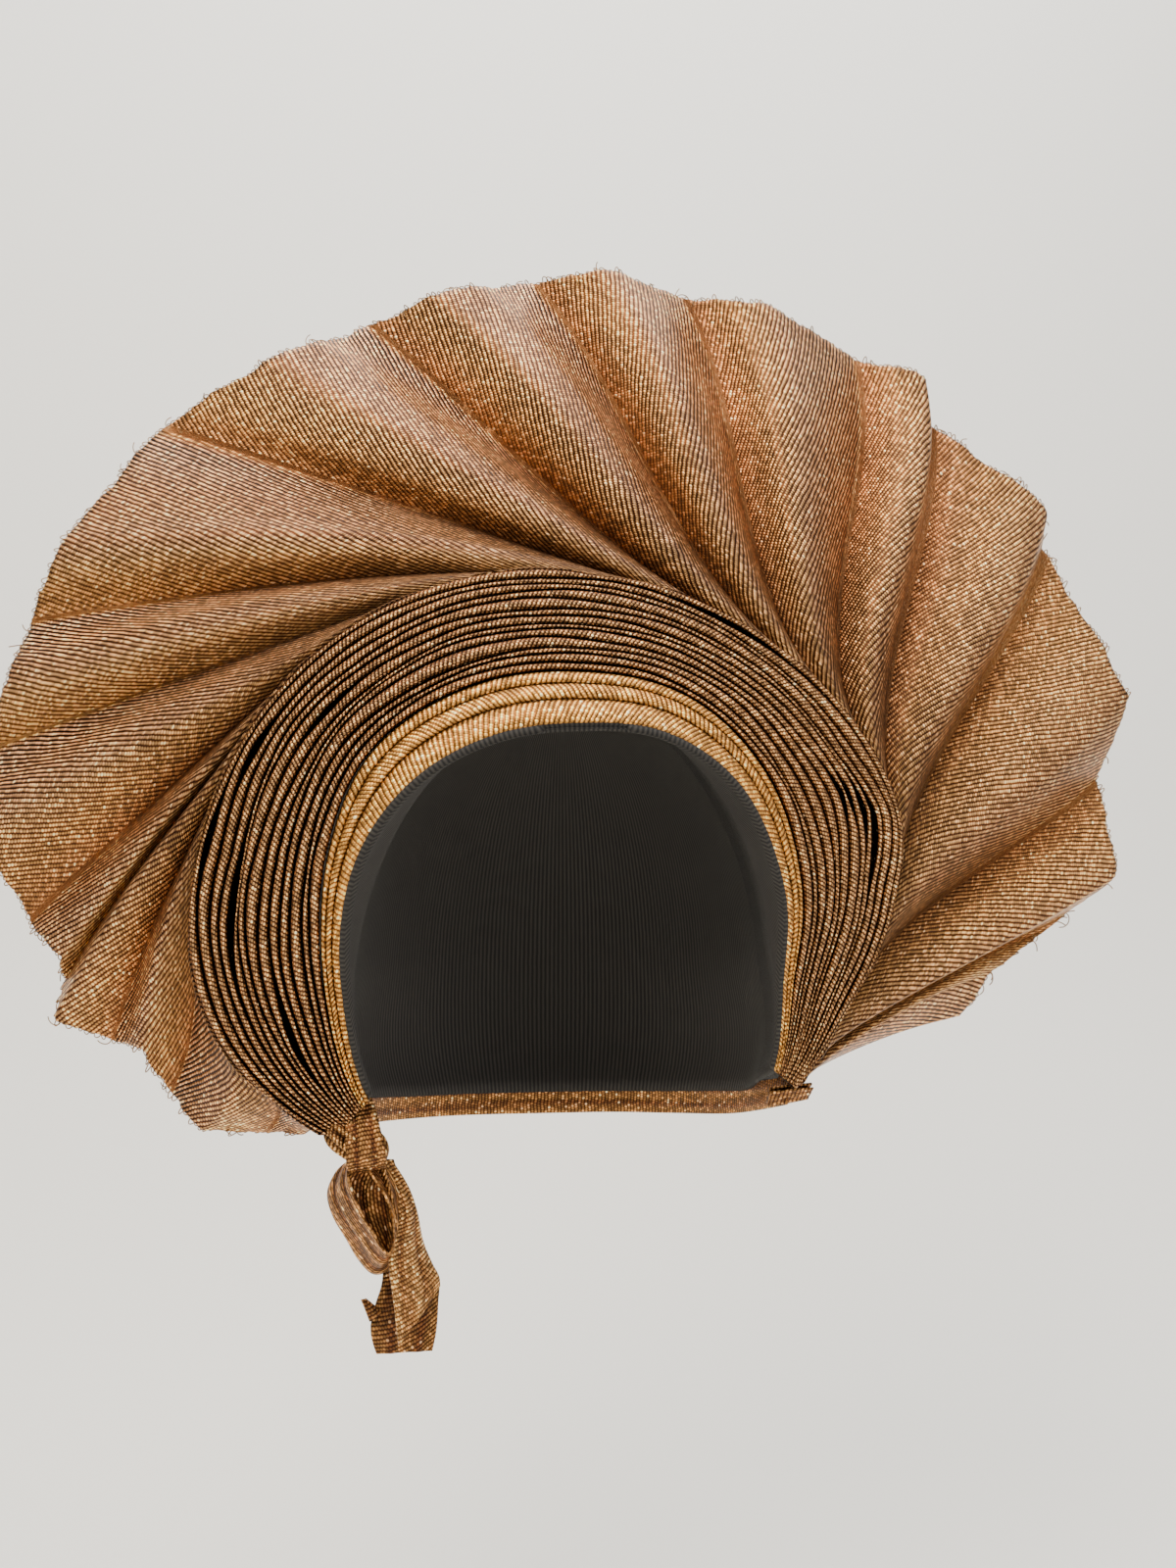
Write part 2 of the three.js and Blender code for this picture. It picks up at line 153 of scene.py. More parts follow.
# Inner cap
# A black stretch cap of fine rib jersey over the crown. It is pulled on under the cloth,
# and its soft rolled edge shows as a dark line just inside the rim.
HEAD_HALF = np.array([76.0, 98.0, 111.0])
RING_CENTRE_Z = -80.0
RING_START, RING_END = -38.0, 225.0
RING_SECTIONS = [
    {"turn": -38, "rim": 98, "rimY": -15, "outer": 110, "outerY": -12, "brow": 0.19, "deep": 8},
    {"turn": -20, "rim": 82, "rimY": -29, "outer": 114, "outerY": -13, "brow": 0.15, "deep": 12},
    {"turn": 0, "rim": 75, "rimY": -41, "outer": 125, "outerY": -16, "brow": 0.15, "deep": 15},
    {"turn": 15, "rim": 71, "rimY": -48, "outer": 131, "outerY": -20, "brow": 0.16, "deep": 16},
    {"turn": 38, "rim": 68, "rimY": -55, "outer": 125, "outerY": -28, "brow": 0.22, "deep": 17},
    {"turn": 62, "rim": 64, "rimY": -60, "outer": 119, "outerY": -34, "brow": 0.3, "deep": 18},
    {"turn": 90, "rim": 59, "rimY": -64, "outer": 118, "outerY": -38, "brow": 0.32, "deep": 18},
    {"turn": 118, "rim": 62, "rimY": -60, "outer": 122, "outerY": -34, "brow": 0.32, "deep": 18},
    {"turn": 145, "rim": 68, "rimY": -55, "outer": 126, "outerY": -28, "brow": 0.3, "deep": 17},
    {"turn": 168, "rim": 74, "rimY": -47, "outer": 129, "outerY": -20, "brow": 0.19, "deep": 16},
    {"turn": 188, "rim": 79, "rimY": -38, "outer": 132, "outerY": -15, "brow": 0.13, "deep": 15},
    {"turn": 205, "rim": 85, "rimY": -27, "outer": 128, "outerY": -13, "brow": 0.14, "deep": 12},
    {"turn": 225, "rim": 97, "rimY": -15, "outer": 115, "outerY": -12, "brow": 0.19, "deep": 8},
]
CAP_WALL = 1.5
CAP_INSET = 1.4
CAP_BROW_INSET = 1.0
CAP_TUCK = 0.5
CAP_FLARE_FROM = 0.7
CAP_ROWS = 60
CAP_TURNS = 220
CAP_POLE = 0.012
CAP_HEM = [(0.6, 0.9), (1.6, 2.6), (2.6, 4.4), (5.5, 5.4)]
NAPE_EDGE = [
    {"turn": -38, "x": 76, "y": -2, "z": -144},
    {"turn": -52, "x": 76, "y": 20, "z": -151},
    {"turn": -61, "x": 69, "y": 41, "z": -154},
    {"turn": -70, "x": 54, "y": 63, "z": -157},
    {"turn": -80, "x": 30, "y": 81, "z": -159},
    {"turn": -90, "x": 0, "y": 89, "z": -160},
    {"turn": -100, "x": -30, "y": 81, "z": -159},
    {"turn": -110, "x": -54, "y": 63, "z": -157},
    {"turn": -119, "x": -69, "y": 41, "z": -154},
    {"turn": -126, "x": -75, "y": 20, "z": -152},
    {"turn": -135, "x": -76, "y": -2, "z": -146},
]


def column(rows, name, turns):
    """Values of one column of a table at the turns, on a smooth curve through its rows."""
    knots = np.array([row["turn"] for row in rows], float)
    values = np.array([row[name] for row in rows], float)
    if knots[0] > knots[-1]:
        knots, values = knots[::-1], values[::-1]
    turns = np.asarray(turns, float)
    i = np.clip(np.searchsorted(knots, turns, side="right") - 1, 0, len(knots) - 2)
    before, after = np.maximum(i - 1, 0), np.minimum(i + 2, len(knots) - 1)
    span = knots[i + 1] - knots[i]
    t = np.clip((turns - knots[i]) / span, 0, 1)
    m1 = (values[i + 1] - values[before]) / (knots[i + 1] - knots[before]) * span
    m2 = (values[after] - values[i]) / (knots[after] - knots[i]) * span
    return ((2 * t**3 - 3 * t**2 + 1) * values[i] + (t**3 - 2 * t**2 + t) * m1
            + (3 * t**2 - 2 * t**3) * values[i + 1] + (t**3 - t**2) * m2)


def smooth(t):
    """Ease from 0 to 1."""
    t = np.clip(t, 0, 1)
    return t * t * (3 - 2 * t)


def around_ring(turns, reach, y):
    """Points at the turns and reaches round the ring centre, in millimetres."""
    a = np.radians(turns)
    turns, reach, y = np.broadcast_arrays(a, reach, y)
    return np.stack(
        [reach * np.cos(turns), y, RING_CENTRE_Z + reach * np.sin(turns)], axis=-1)


def ring_face(turns, share):
    """Reach and depth of the ring's face at the turns, at a share of its width."""
    rim, outer = column(RING_SECTIONS, "rim", turns), column(RING_SECTIONS, "outer", turns)
    near, far = column(RING_SECTIONS, "rimY", turns), column(RING_SECTIONS, "outerY", turns)
    return rim + (outer - rim) * share, near + (far - near) * share


def arc_lengths(points, axis):
    """Lengths run along one axis of a grid of points, from its first row."""
    steps = np.linalg.norm(np.diff(points, axis=axis), axis=-1)
    zero = np.zeros_like(np.take(steps, [0], axis=axis))
    return np.concatenate([zero, np.cumsum(steps, axis=axis)], axis=axis)


def cloth(name, points, uv, cloth_material, around=False, values=None):
    """A smooth sheet on a grid of points in mm, its UV map in mm, with point values. One that
    runs around a pole is closed over its first row."""
    rows, cols = points.shape[:2]
    wide = cols if around else cols - 1
    i, j = np.meshgrid(np.arange(rows - 1), np.arange(wide), indexing="ij")
    a, b = (i * cols + j).ravel(), (i * cols + (j + 1) % cols).ravel()
    faces = np.stack([a, b, b + cols, a + cols], axis=1).tolist()
    if around:
        faces.append(list(range(cols))[::-1])
    made = bpy.data.meshes.new(name)
    made.from_pydata((points.reshape(-1, 3) * MM).tolist(), [], faces)
    layer = made.uv_layers.new(name="cloth")
    corner = np.zeros(len(made.loops), np.int32)
    made.loops.foreach_get("vertex_index", corner)
    flat_uv = uv.reshape(-1, 2)[corner]
    layer.data.foreach_set("uv", flat_uv.astype(np.float32).ravel())
    for key, value in (values or {}).items():
        kept = made.attributes.new(key, "FLOAT", "POINT")
        kept.data.foreach_set("value", value.astype(np.float32).ravel())
    made.polygons.foreach_set("use_smooth", np.ones(len(made.polygons), bool))
    made.materials.append(cloth_material)
    piece = bpy.data.objects.new(name, made)
    bpy.context.collection.objects.link(piece)
    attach(piece, "root")
    return piece


def give_wall(piece, thick, side=-1.0):
    """Thickness of the cloth, in mm, applied at once."""
    bpy.context.view_layer.objects.active = piece
    piece.select_set(True)
    wall = piece.modifiers.new("wall", "SOLIDIFY")
    wall.thickness = thick * MM
    wall.offset = side
    bpy.ops.object.modifier_apply(modifier=wall.name)
    piece.select_set(False)


# Fine rib jersey: black polyester, matt, with upright ribs whose tops are painted a little lighter, a
# painted highlight
JERSEY_RIB = 1.8
jersey, tree = material("black_rib_jersey")
uv = node(tree, "ShaderNodeUVMap", uv_map="cloth")
ribs = node(tree, "ShaderNodeTexWave", {
    "Vector": uv.outputs[0], "Scale": 0.314 / JERSEY_RIB, "Distortion": 0.6})
tint = node(tree, "ShaderNodeMix", {
    0: ribs.outputs["Fac"], 6: linear("#0C0B0A"), 7: linear("#38342F")}, data_type="RGBA")
bump = node(tree, "ShaderNodeBump", {
    "Height": ribs.outputs["Fac"], "Strength": 0.5, "Distance": 0.0002})
shader = node(tree, "ShaderNodeBsdfPrincipled", {
    "Base Color": tint.outputs[2], "Roughness": 0.9, "Normal": bump.outputs[0]})
node(tree, "ShaderNodeOutputMaterial", {"Surface": shader.outputs[0]})

turns = np.linspace(RING_START, RING_START + 360, CAP_TURNS, endpoint=False)
reach, depth = ring_face(np.minimum(turns, RING_END), 0.0)
inset = CAP_INSET + CAP_BROW_INSET * np.maximum(0, np.sin(np.radians(turns))) ** 2
edge = around_ring(turns, reach - inset, depth + CAP_TUCK)
behind = turns > RING_END
for axis, name in enumerate("xyz"):
    edge[behind, axis] = column(NAPE_EDGE, name, turns[behind] - 360)
centre = np.array([0, 0, -HEAD_HALF[2]])
to_edge = edge - centre
far = np.linalg.norm(to_edge, axis=1)
swing = np.arccos(to_edge[:, 2] / far)
side = to_edge[:, :2] / np.linalg.norm(to_edge[:, :2], axis=1)[:, None]
rows = np.linspace(CAP_POLE, 1, CAP_ROWS)[:, None]
way = np.stack([side[:, 0] * np.sin(swing * rows), side[:, 1] * np.sin(swing * rows),
                np.cos(swing * rows)], axis=-1)
skull = 1 / np.linalg.norm(way / (HEAD_HALF + CAP_WALL), axis=-1)
flare = smooth((rows - CAP_FLARE_FROM) / (1 - CAP_FLARE_FROM))
dome = way * (skull + (far - skull) * flare)[..., None] + centre
away = np.stack([np.cos(np.radians(turns)), 0 * turns, np.sin(np.radians(turns))], axis=-1)
away[behind] = 0
hem = [edge + away * out + np.array([0, back, 0]) * (~behind)[:, None]
       for out, back in CAP_HEM]
dome = np.concatenate([dome, hem])
run = arc_lengths(dome, 0)
girth = arc_lengths(dome[-1:], 1)[0]
cap = cloth("inner_cap_jersey", dome, np.stack(
    [np.broadcast_to(girth, run.shape), run], axis=-1), jersey, around=True)
give_wall(cap, CAP_WALL)
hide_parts("inner_cap")


# Brow folds
# Three smooth folds that lap up the forehead, the palest part, facing the light: each
# fold's crest is painted pale as a highlight and its tuck painted dark as shade. They are
# one strip of the cloth turned over and over, its ribs running across each fold.
BROW_SHARES = [0.48, 0.3, 0.22]
# Each row's tone is painted light and shade: 0 paints the tucks dark, 1 paints the crest pale.
BROW_FOLD = [
    {"across": 0.5, "back": 3.0, "tone": 0.0},
    {"across": 0.1, "back": 2.7, "tone": 0.0},
    {"across": -0.02, "back": 1.7, "tone": 0.15},
    {"across": 0.0, "back": 0.8, "tone": 0.45},
    {"across": 0.1, "back": 0.25, "tone": 0.85},
    {"across": 0.3, "back": 0.0, "tone": 1.0},
    {"across": 0.6, "back": 0.05, "tone": 0.95},
    {"across": 0.82, "back": 0.4, "tone": 0.75},
    {"across": 0.95, "back": 1.0, "tone": 0.4},
    {"across": 0.97, "back": 1.9, "tone": 0.05},
    {"across": 0.9, "back": 3.0, "tone": 0.0},
]
BROW_CREST = 5
BROW_SIDE = [(-0.15, 1.9), (0.1, 3.0), (0.35, 8.0)]
BROW_WALL = 0.5
RING_STEPS = 360
GAP = 0.3
YARN_WAVER = 0.8
PATCH_SIZE = 30
HOLE_WIDTH = 1.65
GLINT_RARITY = 30
GLINT_SHARE = 0.5
STITCH_DULL = 0.6
STITCH_BRIGHT = 2.3
PATCH_DULL = 0.78
PATCH_BRIGHT = 1.16
SHADE_DEEPEST = 0.42
LUREX_METAL = 0.85
STITCH_RELIEF = 0.0004


def lurex(name, tones, glint, rib, stitch, slant, shine):
    """Woven lurex: metal-wound yarns in ribs, crossed by a stitch dot along each rib, at
    their real pitches in mm. The tones go from the bottom of a fold to its crest, with
    how far the ribs and the stitches stand open there; their colours are painted light and
    shade, dark at the bottom and pale at the crest. The glints and the brightest stitches
    are painted highlights, and the shade attribute paints shade."""
    made, tree = material(name)
    uv = node(tree, "ShaderNodeUVMap", uv_map="cloth")
    waver = node(tree, "ShaderNodeTexNoise", {"Vector": uv.outputs[0], "Scale": 0.2})
    drift = node(tree, "ShaderNodeVectorMath", {
        0: waver.outputs["Color"], 1: [YARN_WAVER] * 3, 2: uv.outputs[0]},
        operation="MULTIPLY_ADD")
    laid = node(tree, "ShaderNodeMapping", {
        "Vector": drift.outputs[0], "Rotation": (0, 0, math.radians(slant))})
    counted = node(tree, "ShaderNodeVectorMath", {
        0: laid.outputs[0], 1: (rib, stitch, 1)}, operation="DIVIDE")
    cell = node(tree, "ShaderNodeVectorMath", {0: counted.outputs[0]}, operation="FLOOR")
    brick = node(tree, "ShaderNodeVectorRotate", {
        "Vector": cell.outputs[0], "Angle": math.radians(90)}, rotation_type="Z_AXIS")
    shifted = node(tree, "ShaderNodeVectorMath", {
        0: brick.outputs[0], 1: (0, 0.5, 0), 2: counted.outputs[0]},
        operation="MULTIPLY_ADD")
    place = node(tree, "ShaderNodeVectorMath", {0: shifted.outputs[0]},
                 operation="FRACTION")
    centred = node(tree, "ShaderNodeVectorMath", {
        0: place.outputs[0], 1: (2, 2, 2), 2: (-1, -1, -1)}, operation="MULTIPLY_ADD")
    hollow = node(tree, "ShaderNodeVectorMath", {
        0: centred.outputs[0], 1: centred.outputs[0]}, operation="MULTIPLY")
    hollows = node(tree, "ShaderNodeSeparateXYZ", {0: hollow.outputs[0]})
    lot = node(tree, "ShaderNodeVectorMath", {0: shifted.outputs[0]}, operation="FLOOR")
    chance = node(tree, "ShaderNodeTexWhiteNoise", {"Vector": lot.outputs[0]})
    tone = node(tree, "ShaderNodeAttribute", attribute_name="tone")
    colours = {}
    for key, weight in (("yarn", "stitches"), ("gap", "ribs")):
        ramp = node(tree, "ShaderNodeValToRGB", {"Fac": tone.outputs["Fac"]})
        for row in tones[1:-1]:
            ramp.color_ramp.elements.new(row["at"])
        for stop, row in zip(ramp.color_ramp.elements, tones):
            stop.color = linear(row[key])[:3] + [row[weight]]
        colours[key] = ramp.outputs
    rib_hole = node(tree, "ShaderNodeMath", {
        0: hollows.outputs["X"], 1: colours["gap"]["Alpha"]}, operation="MULTIPLY")
    stitch_hole = node(tree, "ShaderNodeMath", {
        0: hollows.outputs["Y"], 1: colours["yarn"]["Alpha"]}, operation="MULTIPLY")
    holes = node(tree, "ShaderNodeMath", {
        0: rib_hole.outputs[0], 1: stitch_hole.outputs[0]}, operation="ADD")
    hole = node(tree, "ShaderNodeMath", {0: holes.outputs[0], 1: HOLE_WIDTH},
                operation="MULTIPLY", use_clamp=True)
    # Painted highlights: a rare few stitches are mixed toward the glint colour.
    lucky = node(tree, "ShaderNodeMath", {0: chance.outputs["Value"], 1: GLINT_RARITY},
                 operation="POWER")
    bead = node(tree, "ShaderNodeMath", {0: 1.0, 1: hole.outputs[0]},
                operation="SUBTRACT")
    lit = node(tree, "ShaderNodeMath", {0: bead.outputs[0], 1: lucky.outputs[0]},
               operation="MULTIPLY")
    spark = node(tree, "ShaderNodeMath", {0: lit.outputs[0], 1: GLINT_SHARE},
                 operation="MULTIPLY")
    # Stitch brightness differs at random, and the brightest stitches, brighter than the yarn itself,
    # are painted glitter highlights.
    luck = node(tree, "ShaderNodeMath", {0: chance.outputs["Value"], 1: 2.0},
                operation="POWER")
    stitch_tone_and_glitter = node(tree, "ShaderNodeMapRange", {
        "Value": luck.outputs[0], "To Min": STITCH_DULL, "To Max": STITCH_BRIGHT})
    patches = node(tree, "ShaderNodeTexNoise", {
        "Vector": uv.outputs[0], "Scale": 1 / PATCH_SIZE, "Detail": 3.0})
    patch_tone = node(tree, "ShaderNodeMapRange", {
        "Value": patches.outputs["Fac"], "From Min": 0.3, "From Max": 0.7,
        "To Min": PATCH_DULL, "To Max": PATCH_BRIGHT})
    # Painted shade: the shade attribute darkens the colour, down to SHADE_DEEPEST. The noise patches
    # before it are tone that differs at random.
    shade = node(tree, "ShaderNodeAttribute", attribute_name="shade")
    light = node(tree, "ShaderNodeMapRange", {
        "Value": shade.outputs["Fac"], "To Min": 1.0, "To Max": SHADE_DEEPEST})
    patches_and_painted_shade = node(tree, "ShaderNodeMath", {
        0: patch_tone.outputs[0], 1: light.outputs[0]}, operation="MULTIPLY")
    open_part = node(tree, "ShaderNodeMath", {
        0: patches_and_painted_shade.outputs[0], 1: stitch_tone_and_glitter.outputs[0]}, operation="MULTIPLY")
    woven = node(tree, "ShaderNodeMix", {
        0: hole.outputs[0], 6: colours["yarn"]["Color"], 7: colours["gap"]["Color"]},
        data_type="RGBA")
    glinting = node(tree, "ShaderNodeMix", {
        0: spark.outputs[0], 6: woven.outputs[2], 7: linear(glint)}, data_type="RGBA")
    tint = node(tree, "ShaderNodeVectorMath", {
        0: glinting.outputs[2], 3: open_part.outputs[0]}, operation="SCALE")
    bump = node(tree, "ShaderNodeBump", {
        "Height": bead.outputs[0], "Strength": 0.8, "Distance": STITCH_RELIEF})
    shader = node(tree, "ShaderNodeBsdfPrincipled", {
        "Base Color": tint.outputs[0], "Metallic": LUREX_METAL, "Roughness": shine,
        "Normal": bump.outputs[0]})
    node(tree, "ShaderNodeOutputMaterial", {"Surface": shader.outputs[0]})
    return made


brow_lurex = lurex("pale_gold_lurex", [
    {"at": 0.0, "yarn": "#4A2810", "gap": "#1C0D06", "ribs": 0.8, "stitches": 0.2},
    {"at": 0.5, "yarn": "#C89048", "gap": "#54300F", "ribs": 0.8, "stitches": 0.2},
    {"at": 1.0, "yarn": "#FFBC62", "gap": "#7A4616", "ribs": 0.85, "stitches": 0.25},
], glint="#FFF0C8", rib=1.6, stitch=1.1, slant=-66, shine=0.38)
ring_turns = np.linspace(RING_START, RING_END, RING_STEPS)
band = column(RING_SECTIONS, "brow", ring_turns)
near, near_y = ring_face(ring_turns, 0.0)
far, far_y = ring_face(ring_turns, band)
width = np.hypot(far - near, far_y - near_y)
out_r, out_y = (far - near) / width, (far_y - near_y) / width
loop, tones = [], []
for index, part in enumerate(BROW_SHARES):
    start = sum(BROW_SHARES[:index])
    for row in BROW_FOLD:
        across = (start + part * row["across"]) * width
        loop.append(around_ring(ring_turns, near + out_r * across - out_y * row["back"],
                                near_y + out_y * across + out_r * row["back"]))
        tones.append(np.full(len(ring_turns), row["tone"]))
loop[-2:] = [around_ring(ring_turns, far + beside, far_y + back) for beside, back in BROW_SIDE]
tones.append(np.zeros(len(ring_turns)))
points = np.stack(loop, axis=1)
girth = arc_lengths(points, 1)[:, -1].mean()
of_fold = np.minimum(np.arange(len(loop)) // len(BROW_FOLD), len(BROW_SHARES) - 1)
crests = of_fold * len(BROW_FOLD) + BROW_CREST
uv = np.stack([arc_lengths(points, 1) * np.where(of_fold == 1, -1, 1),
               arc_lengths(points, 0)[:, crests]], axis=-1)
folds = cloth("brow_folds_cloth", points, uv, brow_lurex,
              values={"tone": np.stack(tones, axis=1)})
give_wall(folds, BROW_WALL)
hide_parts("brow_fold_1", "brow_fold_2", "brow_fold_3")


# Pleats
# The narrow folds of the ring, pressed side by side from the brow out. Each is the cloth
# doubled on edge with its fold to the front, so it looks like a twisted metal cord. They
# wander, and here and there one buckles and leaves a dark slot beside it.
PLEATS = 13
PLEAT_SLOT = 0.68
PLEAT_WANDER = 0.32
PLEAT_WAIST = 0.75
PLEAT_MEET = 0.05
PLEAT_LIFT = 0.6
PLEAT_NOSE_STEPS = 10
PLEAT_SHIFT = 7.7
PLEAT_BACK_TONE = 0.5
PLEAT_BACK_SWELL = 0.9
PLEAT_LEAST = 0.9
PLEAT_NOSE = 0.55
PLEAT_HOLD = 20
PLEAT_SIZES = [1.0, 0.85, 0.95, 1.25, 0.95, 0.8, 1.1, 1.05, 0.85, 1.15, 0.95, 1.15, 0.95]
PLEAT_SLOTS = [
    {"turn": 180, "edge": 9, "open": 2.4, "spread": 11},
    {"turn": 170, "edge": 12, "open": 1.8, "spread": 6},
    {"turn": 142, "edge": 7, "open": 1.5, "spread": 6},
    {"turn": 154, "edge": 11, "open": 1.8, "spread": 5},
    {"turn": 206, "edge": 5, "open": 1.8, "spread": 9},
    {"turn": 22, "edge": 6, "open": 1.6, "spread": 5},
    {"turn": 21, "edge": 7, "open": 1.5, "spread": 4},
    {"turn": 18, "edge": 8, "open": 2.2, "spread": 5},
    {"turn": 12, "edge": 9, "open": 2.4, "spread": 8},
    {"turn": 86, "edge": 13, "open": 3.0, "spread": 6},
    {"turn": 60, "edge": 12, "open": 1.4, "spread": 9},
]
PLEAT_BUCKLES = [
    {"turn": 22, "edge": 6, "push": 2.0, "spread": 12},
    {"turn": 17, "edge": 9, "push": 2.8, "spread": 12},
    {"turn": 15, "edge": 11, "push": 2.0, "spread": 12},
    {"turn": 150, "edge": 9, "push": 1.2, "spread": 16},
    {"turn": 172, "edge": 10, "push": -1.0, "spread": 12},
    {"turn": 112, "edge": 7, "push": 0.9, "spread": 14},
]
# Painted light and shade: tone 0, at the back of each pleat between its neighbours, is painted near
# black as shade, and tone 1 at the fold's nose is painted bright as its highlight.
pleat_lurex = lurex("copper_lurex_pleat", [
    {"at": 0.0, "yarn": "#140904", "gap": "#0A0402", "ribs": 1.2, "stitches": 1.2},
    {"at": 0.3, "yarn": "#3E200D", "gap": "#180B05", "ribs": 0.7, "stitches": 0.2},
    {"at": 0.7, "yarn": "#A86830", "gap": "#361A0B", "ribs": 0.85, "stitches": 0.4},
    {"at": 1.0, "yarn": "#ECB476", "gap": "#482610", "ribs": 0.95, "stitches": 0.45},
], glint="#FFE3B4", rib=1.4, stitch=1.2, slant=-62, shine=0.4)
wander = random.Random(7)


def wobble(turns, size, chance):
    """A smooth seeded wander along the ring."""
    total = np.zeros_like(turns)
    for wave in (2.3, 4.1, 7.7, 15.1):
        total += np.sin(np.radians(turns * wave) + chance.uniform(0, 6.3)) / wave**0.7
    return size * total


edges, slots = [], []
ends_hold = smooth((ring_turns - RING_START) / PLEAT_HOLD) * smooth(
    (RING_END - ring_turns) / PLEAT_HOLD)
for index in range(PLEATS + 1):
    place = sum(PLEAT_SIZES[:index]) / sum(PLEAT_SIZES)
    if 0 < index < PLEATS:
        place = place + wobble(ring_turns, PLEAT_WANDER, wander) * ends_hold / PLEATS
    push = np.zeros_like(ring_turns)
    for row in PLEAT_BUCKLES:
        peak = np.maximum(0, 1 - np.abs(ring_turns - row["turn"]) / row["spread"])
        push += row["push"] * peak * math.exp(-((index - row["edge"]) / 1.6) ** 2)
    slot = np.full_like(ring_turns, PLEAT_SLOT)
    for row in PLEAT_SLOTS:
        if row["edge"] == index:
            slot += row["open"] * np.exp(-((ring_turns - row["turn"]) / row["spread"]) ** 2)
    edges.append((place, push * (0 < index < PLEATS)))
    slots.append(slot)
deep = column(RING_SECTIONS, "deep", ring_turns)
for index in range(PLEATS):
    near, near_y = ring_face(ring_turns, band + (1 - band) * edges[index][0])
    far, _ = ring_face(ring_turns, band + (1 - band) * edges[index + 1][0])
    near, far = near + edges[index][1], far + edges[index + 1][1]
    bottom = {-1: near - PLEAT_MEET, 1: far + PLEAT_MEET}
    near, far = near + slots[index] / 2, far - slots[index + 1] / 2
    width = np.maximum(far - near, PLEAT_LEAST)
    middle = (near + far) / 2
    lift = wobble(ring_turns, PLEAT_LIFT, wander) + PLEAT_LIFT
    nose = width * PLEAT_NOSE
    wall = deep - nose - lift
    # Each point of the loop carries a painted tone: shade at the back and in the slots, highlight
    # over the nose. The backs and the last pleat's outer side get a middle tone.
    shown = PLEAT_BACK_TONE if index == PLEATS - 1 else 0.0
    loop = [(bottom[-1], wall, PLEAT_BACK_TONE), (bottom[-1], wall * 0.75, 0.1),
            (middle - width / 2 * PLEAT_WAIST, wall * 0.4, 0.0)]
    for step in range(PLEAT_NOSE_STEPS + 1):
        a = math.pi * step / PLEAT_NOSE_STEPS
        loop.append((middle - width / 2 * math.cos(a), -nose * math.sin(a),
                     max(math.sin(a), shown * (a > 1))))
    loop += [(middle + width / 2 * PLEAT_WAIST, wall * 0.4, shown),
             (bottom[1], wall * 0.75, max(shown, 0.1)), (bottom[1], wall, PLEAT_BACK_TONE),
             ((bottom[-1] + bottom[1]) / 2, wall + PLEAT_BACK_SWELL, 1.0),
             (bottom[-1] + GAP, wall + GAP, PLEAT_BACK_TONE)]
    points = np.stack([around_ring(ring_turns, at, near_y + lift + nose + back)
                       for at, back, _ in loop], axis=1)
    along = arc_lengths(points, 0)[:, [len(loop) // 2]] + index * PLEAT_SHIFT
    uv = np.stack([arc_lengths(points, 1), np.broadcast_to(along, points.shape[:2])], axis=-1)
    girth = arc_lengths(points, 1)[:, -1].mean()
    number = f"pleat_{index + 1:02d}"
    fold = cloth(f"{number}_cloth", points, uv, pleat_lurex, values={
        "tone": np.broadcast_to([row[2] for row in loop], points.shape[:2])})
    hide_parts(number)


